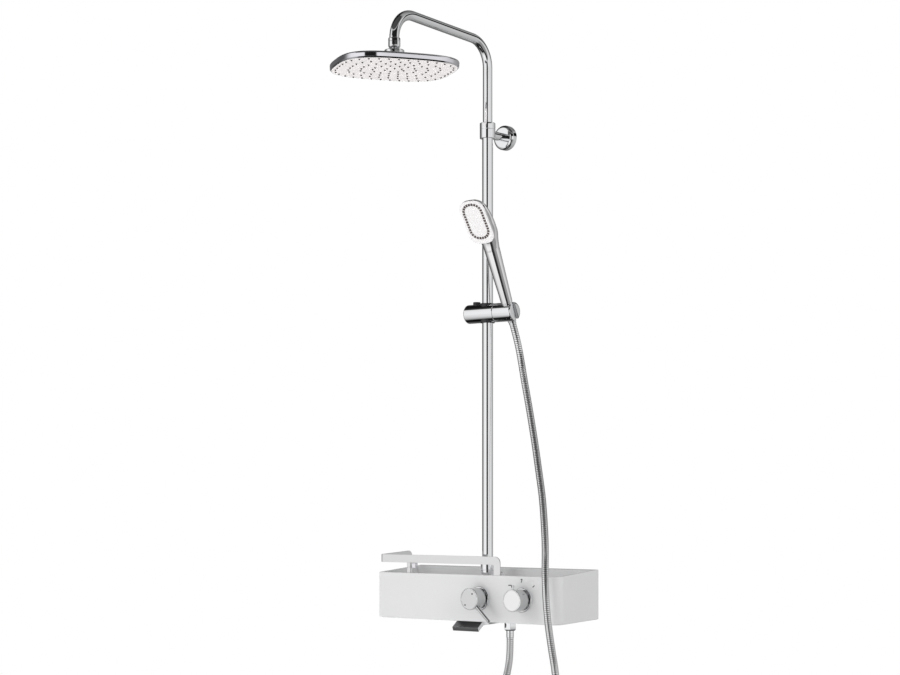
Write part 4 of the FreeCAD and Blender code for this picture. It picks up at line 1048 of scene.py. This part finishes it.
rim = oval_sections([(3.4, 4.3), (3.4, 0.0), (3.1, 0.0), (2.9, 0.15), (0.75, 2.4), (0.5, 2.75),
                     (0.4, 3.3), (0.3, 4.2), (0.15, 7.0), (0.0, 10.2), (0.1, 11.4), (0.55, 12.6),
                     (1.4, 13.7), (2.8, 14.4), (4.3, 14.7), (6.0, 14.8)])
head_body = squared_oval("rain_head_body", head_at, head_turn,
                         rim + dome_sections() + [(19.5, 18.9, 1182.75)])
smooth(head_body, 25)
finish(head_body, "head_shell")
plate = squared_oval("rain_head_plate", head_at, head_turn,
                     oval_sections([(3.4, 2.5), (3.4, 0.5), (3.5, 0.2), (3.8, 0.0)]))
smooth(plate, 40)
finish(plate, "head_face", finish_of=spray_face)


def oval_point(half_x, half_y, power, turn):
    c, s = math.cos(turn), math.sin(turn)
    return Vector((half_x * math.copysign(abs(c) ** (2 / power), c),
                   half_y * math.copysign(abs(s) ** (2 / power), s), 0))


def rain_nozzles():
    """Soft cones in rings over the face, each with a collar at its root and a small mouth."""
    one = turned("rain_nozzle", [(2.5, 0.6), (2.5, -0.25), (2.1, -0.45), (1.75, -0.7),
                                 (1.25, -2.1), (1.0, -2.3), (0.55, -2.3), (0.45, -1.7)],
                 (0, 0, head_low * mm), None, 12)
    smooth(one, 40)
    spin = Matrix.Rotation(math.radians(head_turn), 3, "Z")
    rings = ((123.0, 104.0, 36), (97.0, 81.0, 28), (72.0, 60.0, 21), (47.0, 39.0, 14),
             (21.0, 17.0, 7))
    homes = []
    for ring, (half_x, half_y, count) in enumerate(rings):
        power = 3.22 - 0.25 * ring  # the inner rings are rounder
        line = [oval_point(half_x, half_y, power, 2 * math.pi * i / 720) for i in range(721)]
        for spot, _ in spots_along(line, count, 0.5 * (ring % 2)):
            homes.append((Vector(head_at) + spin @ spot * mm, 0))
    finish(copied("rain_nozzles", one, homes), "head_nozzles")


rain_nozzles()


# ---- slider on the column ----
slider_z = 0.652
slider_at = Vector((0, column_y, slider_z))
slider_piece = turned("slider_barrel", [(0.6, -56), (17.5, -56), (18.9, -55.8), (20.4, -55.2),
                                        (21.4, -54.0), (21.75, -52.6), (21.75, 25.8),
                                        (21.45, 26.6), (20.8, 27), (8, 27), (8, 46.6),
                                        (7.1, 47.5), (0.6, 47.5)], slider_at, to_right, 96)
combine(slider_piece, hole(16.55, -30, 30, slider_at, sides=96))
button_at = slider_at + Vector((-0.0315, 0, 0))
combine(slider_piece, hole(8.55, 9.75, 30, button_at, sides=64))
smooth(slider_piece, 30)
finish(slider_piece, "slider_body")
turned_part("push_button", "slider_button",
            [(7.9, 12.75), (8.5, 13.2), (8.5, 25.9), (8.25, 26.7), (7.6, 27.15), (6.4, 27.25),
             (5.6, 26.9), (0.5, 26.6)], button_at, None, 64, bored=False, finish_of=dark)
turned_part("friction_washer", "friction_ring",
            [(8.05, 27.02), (20.4, 27.02), (20.75, 27.2), (20.75, 27.6), (20.4, 27.78),
             (8.05, 27.78)], slider_at, to_right)


# ---- holder, hand shower and its hose end, in the hand shower's own frame ----
holder_x = 0.063
hand_lean = 25.5
hand_twist = 7.6
face_tilt = math.radians(99.4)
face_at = Vector((0, -31.9, 226.5)) * mm
face_lift = Matrix.Translation(face_at) @ Matrix.Rotation(face_tilt, 4, "X")


def hand_matrix(twist=0):
    """Where the hand shower stands in its holder, turned by the twist about its own handle."""
    return (Matrix.Translation((holder_x, column_y, slider_z)) @
            Matrix.Rotation(math.radians(hand_lean), 4, "X") @
            Matrix.Rotation(math.radians(twist), 4, "Z"))


face_matrix = hand_matrix(hand_twist) @ face_lift

holder = turned("cone_holder", [(8.05, 48), (8.05, 27.8), (20.8, 27.8), (21.45, 28.2), (21.75, 29),
                                (21.75, 75.6), (21.4, 77.0), (20.4, 78.2), (18.9, 78.8),
                                (17.5, 79), (0.6, 79)], slider_at, to_right, 96)
taper = turned("taper", [(8.4829, -32.625), (14.3922, 32.625)])
settle(taper, hand_matrix())
slot_block = block("slot", (0, -7.6, -32.6), (40, 7.6, 32.6))
settle(slot_block, hand_matrix())
combine(holder, taper)
combine(holder, slot_block)
smooth(holder, 30)
finish(holder, "handset_holder")


def hose_fitting(name, node, profile, matrix):
    """Turned fitting on the hose's end."""
    fitting = turned(name, profile, bored=True)
    settle(fitting, matrix)
    smooth(fitting)
    finish(fitting, node)


hose_fitting("hose_cone", "hose_cone_nut", [(6, -24), (9.3, -24), (9.8, -23.5), (12.55, 22.4),
                                            (12.2, 23), (6, 23)], hand_matrix())


def ferrule(name, node, low, high, matrix):
    """Crimped sleeve over the hose's end: two pressed rings and rolled edges."""
    step = 1 if high > low else -1
    sleeve = [(6, low), (8.2, low), (8.6, low + 0.5 * step)]
    span = abs(high - low)
    for share in (0.3, 0.62):
        at = low + span * share * step
        sleeve += [(8.6, at - 0.5 * step), (8.25, at - 0.2 * step), (8.25, at + 0.2 * step),
                   (8.6, at + 0.5 * step)]
    sleeve += [(8.6, high - 0.4 * step), (8.2, high), (6, high)]
    hose_fitting(name, node, sleeve, matrix)


def outlet_nut(across_flats=25.6, facing=-21.85):
    """Six-sided nut with chamfered ends."""
    corner = across_flats / math.sqrt(3)
    hexagon = turned("hose_nut", [(corner - 2.6, -76), (corner - 0.5, -74.2), (corner, -73),
                                  (corner, -53.8), (corner - 1.4, -52.5), (10.6, -52.5),
                                  (10.6, -72), (6.2, -72), (6.2, -76)],
                     (outlet_x, column_y, 0), None, 6, bored=True,
                     turn=Matrix.Rotation(math.radians(facing), 3, "Z").to_quaternion())
    round_edges(hexagon, 0.5 * mm, 2, 35)
    finish(hexagon, "hose_outlet_nut")


outlet_nut()
ferrule("hose_sleeve_top", "hose_ferrule_top", -30, -24, hand_matrix())
ferrule("hose_sleeve_low", "hose_ferrule_low", -92, -76,
        Matrix.Translation((outlet_x, column_y, 0)))

# the hand shower's own sizes, in millimetres
handle_low, handle_low_r = 23, 13.4
handle_top, handle_top_r = 154, 17.9
neck_long, neck_half_wide, neck_forward = 125, 31.3, 31.9
plate_wide, plate_long, plate_corner = 62.6, 105.6, 22
groove_shift = Vector((0, 3.2, 0))


def handle_r(height):
    share = (handle_top_r - handle_low_r) * (height - handle_low) / (handle_top - handle_low)
    return handle_low_r + share


def neck_sections(steps_between=4):
    """Sections up the neck and the tub's back, on a smooth curve through the listed ones."""
    # each: height, forward, half width and half depth, as shares
    hand_set = [(0.0, 0.0, handle_top_r / neck_half_wide, 1.0), (0.144, 0.000, 0.660, 1.060),
                (0.288, 0.110, 0.855, 1.140), (0.416, 0.270, 0.946, 1.140),
                (0.560, 0.389, 0.971, 1.073), (0.728, 0.602, 0.971, 0.883),
                (0.864, 0.784, 0.895, 0.704), (0.952, 0.972, 0.703, 0.503),
                (1.000, 1.129, 0.447, 0.251)]
    last = len(hand_set) - 1
    fine = []
    for i in range(last):
        p = [Vector(hand_set[max(0, min(last, i + k))]) for k in (-1, 0, 1, 2)]
        for j in range(steps_between):
            t = j / steps_between
            fine.append(0.5 * (2 * p[1] + (p[2] - p[0]) * t +
                               (2 * p[0] - 5 * p[1] + 4 * p[2] - p[3]) * t * t +
                               (3 * p[1] - p[0] - 3 * p[2] + p[3]) * t * t * t))
    fine.append(Vector(hand_set[-1]))
    return [(wide * neck_half_wide, deep * handle_top_r,
             (0, -forward * neck_forward, handle_top + up * neck_long))
            for up, forward, wide, deep in fine]


def hand_shell():
    """Tapered handle with two fine grooves, a neck that flattens forward, and the face's tub."""
    profile = [(12.0, 23), (12.8, 23.1), (13.2, 23.4), (13.4, 24)]
    for below in (4.2, 1.6):
        height = handle_top - below
        r = handle_r(height)
        profile += [(r, height - 0.6), (r - 0.45, height - 0.3), (r - 0.45, height + 0.3),
                    (r, height + 0.6)]
    handle = turned("hand_shower_shell", profile + [(handle_top_r, handle_top)], sides=96)
    bpy.ops.object.select_all(action="DESELECT")
    bpy.ops.mesh.primitive_circle_add(vertices=96, radius=handle_top_r * mm, fill_type="NGON",
                                      location=(0, 0, handle_top * mm))
    neck = named("neck")
    apply_place()
    edit("FACE")
    everything()
    through(neck_sections())
    faces_out()
    front = Vector((0, -math.sin(face_tilt), math.cos(face_tilt)))
    slice_off(neck, face_at - front * 0.0002, front)
    tub = rounded("tub", plate_wide, plate_long, plate_corner,
                  [(4.6, -8), (3.0, -7.7), (1.6, -6.9), (0.7, -5.7), (0.15, -4.3), (0, -3),
                   (0, -0.1)])
    settle(tub, face_lift)
    combine(neck, tub, "UNION")
    whole = joined("hand_shower_shell", [handle, neck])
    settle(whole, hand_matrix(hand_twist))
    smooth(whole, 30)
    # the shell takes the brighter copy of the plated chrome, which is painted light
    finish(whole, "handset_shell", finish_of=plated_chrome_painted_light)


hand_shell()


def ring_plate(name, outer, inner):
    """Rounded ring. outer and inner hold a width, a length, a corner radius and two heights."""
    ring, core = [rounded(part, wide, long, radius, [(0, low), (0, high)])
                  for part, (wide, long, radius, low, high)
                  in ((name, outer), (f"{name}_core", inner))]
    combine(ring, core)
    only(ring)
    ring.location = groove_shift * mm
    apply_place()
    return ring


def hand_face():
    """Spray plate with rounded edges and a shallow ring-shaped groove."""
    face = rounded("hand_shower_plate", plate_wide, plate_long, plate_corner,
                   [(0.3, 0.0), (0, 0.3), (0, 1.6), (0.12, 2.2), (0.5, 2.7), (1.1, 2.95),
                    (1.7, 3.0)])
    combine(face, ring_plate("groove", (51, 89.4, 23, 2.0, 4.0), (39, 77.4, 17, 1.0, 5.0)))
    settle(face, face_matrix)
    smooth(face, 30)
    finish(face, "handset_face")


hand_face()


def hand_nozzles(half_x=22.5, half_y=41.7, radius=20.0, count=34):
    """Soft band in the groove and a ladder of square jets on it."""
    band = ring_plate("jet_band", (50.6, 89.0, 22.8, 2.02, 2.5), (39.4, 77.8, 17.2, 1.0, 5.0))
    line = []
    for side_x, side_y, first in ((1, 1, 0), (-1, 1, 90), (-1, -1, 180), (1, -1, 270)):
        centre = Vector((side_x * (half_x - radius), side_y * (half_y - radius), 0))
        for i in range(37):
            turn = math.radians(first + 90 * i / 36)
            line.append(centre + Vector((math.cos(turn), math.sin(turn), 0)) * radius)
    line.append(line[0].copy())
    one = rounded("square_jet", 4.4, 5.5, 0.7, [(0.0, 2.3), (0.05, 3.3), (0.25, 3.6), (0.6, 3.7),
                                                (1.1, 3.7), (1.2, 3.3)], 3)
    smooth(one, 40)
    homes = [((spot + groove_shift) * mm, math.atan2(along.y, along.x))
             for spot, along in spots_along(line, count, 0.5)]
    jets = copied("hand_shower_jets", one, homes)
    settle(jets, face_matrix)
    settle(band, face_matrix)
    smooth(band)
    finish(jets, "handset_nozzles", finish_of=jet_rubber)
    finish(band, "handset_nozzles", slot="white_plastic", finish_of=white)


hand_nozzles()


# ---- studio ----
def arithmetic(tree, operation, a, b=None):
    """One arithmetic step on sockets or numbers."""
    values = {0: a} if b is None else {0: a, 1: b}
    return add_node(tree, "ShaderNodeMath", values, operation=operation).outputs[0]


def product(tree, a, b):
    return arithmetic(tree, "MULTIPLY", a, b)


def grey_by(tree, value, stops):
    """Grey that follows a value through (value, grey) stops."""
    low, high = stops[0][0], stops[-1][0]
    spread = add_node(tree, "ShaderNodeMapRange", {"Value": value, "From Min": low,
                                                   "From Max": high})
    ramp = add_node(tree, "ShaderNodeValToRGB", {"Fac": spread.outputs["Result"]})
    on_ramp = ramp.color_ramp.elements
    for i, (at, grey) in enumerate(stops):
        mark = on_ramp[i] if i < 2 else on_ramp.new((at - low) / (high - low))
        mark.position = (at - low) / (high - low)
        mark.color = (grey, grey, grey, 1)
    return ramp.outputs["Color"]


# what polished metal sees, as (compass direction in degrees, grey)
world_screens = [(-180, 0.10), (-165, 0.12), (-155, 0.3), (-142, 0.75), (-130, 0.95), (-105, 1.0),
                 (-40, 0.92), (-18, 0.80), (5, 0.85), (20, 0.80), (31, 0.70), (48, 0.62),
                 (63, 0.42), (90, 0.33), (128, 0.2), (180, 0.10)]
floor_screens = [(-180, 0.15), (-170, 0.25), (-160, 0.42), (-145, 0.6), (-137, 0.65),
                 (-130, 0.85), (-115, 0.97), (-92, 1.0), (-58, 1.0), (-54, 0.03), (-24, 0.03),
                 (-18, 0.2), (-5, 0.32), (15, 0.31), (35, 0.3), (45, 0.5), (52, 0.55), (75, 0.42),
                 (100, 0.33), (119, 0.22), (132, 0.14), (146, 0.09), (166, 0.06), (180, 0.15)]
black_flag = [(-90, 0), (-77, 0), (-74, 1), (-46, 1), (-43, 0), (-30, 0)]
degrees_a_radian = 57.29578
darkest_share = 0.985


def around(tree, vector, screens):
    """A place's own parts, its compass direction in degrees and the studio's grey there."""
    parts = add_node(tree, "ShaderNodeSeparateXYZ", {"Vector": vector})
    turn = arithmetic(tree, "ARCTAN2", parts.outputs["Y"], parts.outputs["X"])
    degrees = product(tree, turn, degrees_a_radian)
    return parts, degrees, grey_by(tree, degrees, screens)


def less(tree, dark, share):
    """One, less a share of the dark."""
    return arithmetic(tree, "SUBTRACT", 1.0, product(tree, dark, share))


def dimmed(tree, colour, *factors):
    for factor in factors:
        colour = mixed(tree, 1.0, colour, factor, "MULTIPLY")
    return colour


def either(tree, choice, usual, chosen):
    """One shader for most rays, and another for those that the choice picks."""
    return add_node(tree, "ShaderNodeMixShader", {0: choice, 1: usual, 2: chosen}).outputs[0]


def floor():
    """Pale floor; polished metal sees the studio's screens in it."""
    bpy.ops.object.select_all(action="DESELECT")
    bpy.ops.mesh.primitive_plane_add(size=60, location=(0, 0, -1.05))
    plane = named("studio_floor")
    mat = bpy.data.materials.new("studio_floor")
    mat.use_nodes = True
    tree = mat.node_tree
    shader = tree.nodes["Principled BSDF"]
    shader.inputs["Base Color"].default_value = (0.95, 0.95, 0.95, 1)
    shader.inputs["Roughness"].default_value = 0.8
    here = tree.nodes.new("ShaderNodeTexCoord").outputs["Object"]
    parts, degrees, grey = around(tree, here, floor_screens)
    squares = [arithmetic(tree, "POWER", parts.outputs[axis], 2.0) for axis in "XY"]
    far = arithmetic(tree, "SQRT", arithmetic(tree, "ADD", *squares))
    reach = grey_by(tree, far, [(0, 0.03), (1.45, 0.03), (1.62, 0.6), (2.0, 0.85), (2.4, 1.0),
                              (10.0, 1.0)])
    beyond = around(tree, here, world_screens)[2]
    line = less(tree, grey_by(tree, degrees, black_flag), 0.95)
    sky = mixed(tree, grey_by(tree, far, [(0, 0), (8.0, 0), (12.0, 1), (20, 1)]),
                dimmed(tree, grey, reach), dimmed(tree, beyond, line))
    mirrored = add_node(tree, "ShaderNodeEmission", {"Color": sky, "Strength": 1.0})
    white_glow = add_node(tree, "ShaderNodeEmission", {"Strength": 1.0})
    ray = tree.nodes.new("ShaderNodeLightPath").outputs
    seen = product(tree, ray["Is Camera Ray"],
                   grey_by(tree, far, [(0, 0.88), (3.0, 0.92), (8.0, 1.0)]))
    for_eye = either(tree, seen, shader.outputs[0], white_glow.outputs[0])
    for_gloss = either(tree, ray["Is Glossy Ray"], for_eye, mirrored.outputs[0])
    tree.links.new(for_gloss, tree.nodes["Material Output"].inputs["Surface"])
    plane.data.materials.append(mat)


floor()


def softbox(name, place_at, target, size, power):
    data = bpy.data.lights.new(name, "AREA")
    data.shape = "RECTANGLE"
    data.size, data.size_y = size
    data.energy = power
    lamp = bpy.data.objects.new(name, data)
    bpy.context.collection.objects.link(lamp)
    lamp.location = place_at
    way = Vector(target) - Vector(place_at)
    lamp.rotation_euler = way.to_track_quat("-Z", "Y").to_euler()
    lamp.visible_glossy = False


# place, target, size in metres and power in watts
softbox("key_softbox", (-2.2, -3.2, 2.6), (0, -0.1, 0.4), (1.6, 2.4), 42)
softbox("side_softbox", (3.6, -1.6, 1.4), (0, -0.1, 0.4), (1.4, 2.4), 28)
softbox("low_front_softbox", (0.2, -3.0, -0.6), (0, -0.2, 0.9), (1.6, 0.8), 14)
softbox("low_left_softbox", (-1.3, 0.25, -0.95), (0, -0.4, 1.16), (1.2, 1.2), 40)


def studio_world():
    """Even grey for light on the object; polished metal sees screens, flags and a dark ceiling."""
    world = bpy.data.worlds.new("studio")
    bpy.context.scene.world = world
    world.use_nodes = True
    tree = world.node_tree
    back = tree.nodes["Background"]
    back.inputs["Color"].default_value = (0.62, 0.62, 0.62, 1)
    here = tree.nodes.new("ShaderNodeTexCoord").outputs["Generated"]
    parts, degrees, grey = around(tree, here, world_screens)
    height = product(tree, arithmetic(tree, "ARCSINE", parts.outputs["Z"]), degrees_a_radian)

    def panel(heights, directions):
        """Dark panel between heights and between compass directions, both in degrees."""
        return product(tree, grey_by(tree, height, heights), grey_by(tree, degrees, directions))

    above = panel([(-1, 0), (35.5, 0), (37.5, 1), (90, 1)],
                  [(-180, 1), (15, 1), (30, 0.5), (120, 0.5), (135, 1), (180, 1)])
    flag = panel([(-1, 1), (13.2, 1), (14.6, 0), (90, 0)], black_flag)
    bar = panel([(10, 0), (12.15, 0), (12.4, 1), (33.0, 1), (36.0, 0), (40, 0)],
                [(-110, 0), (-102, 0), (-94, 1), (5, 1), (24, 0), (40, 0)])
    card = panel([(15, 0), (16.6, 0), (17.4, 1), (35, 1), (37, 0), (40, 0)],
                 [(-120, 0), (-115, 0), (-112.5, 1), (-95.5, 1), (-93, 0), (-90, 0)])
    strip = panel([(10, 0), (12.6, 0), (14.6, 1), (29, 1), (32, 0), (40, 0)],
                  [(30, 0), (38, 0), (43, 1), (75, 1), (82, 0), (100, 0)])
    darkest = arithmetic(tree, "MAXIMUM", arithmetic(tree, "MAXIMUM", bar, card),
                   arithmetic(tree, "MAXIMUM", strip, flag))
    grey = dimmed(tree, grey, less(tree, above, 0.93), less(tree, darkest, darkest_share))
    mirrored = add_node(tree, "ShaderNodeBackground", {"Color": grey, "Strength": 1.0})
    white_back = add_node(tree, "ShaderNodeBackground", {"Color": (1, 1, 1, 1), "Strength": 1.0})
    ray = tree.nodes.new("ShaderNodeLightPath").outputs
    for_gloss = either(tree, ray["Is Glossy Ray"], back.outputs[0], mirrored.outputs[0])
    for_eye = either(tree, ray["Is Camera Ray"], for_gloss, white_back.outputs[0])
    tree.links.new(for_eye, tree.nodes["World Output"].inputs["Surface"])


studio_world()
bpy.context.scene.view_settings.view_transform = "Standard"
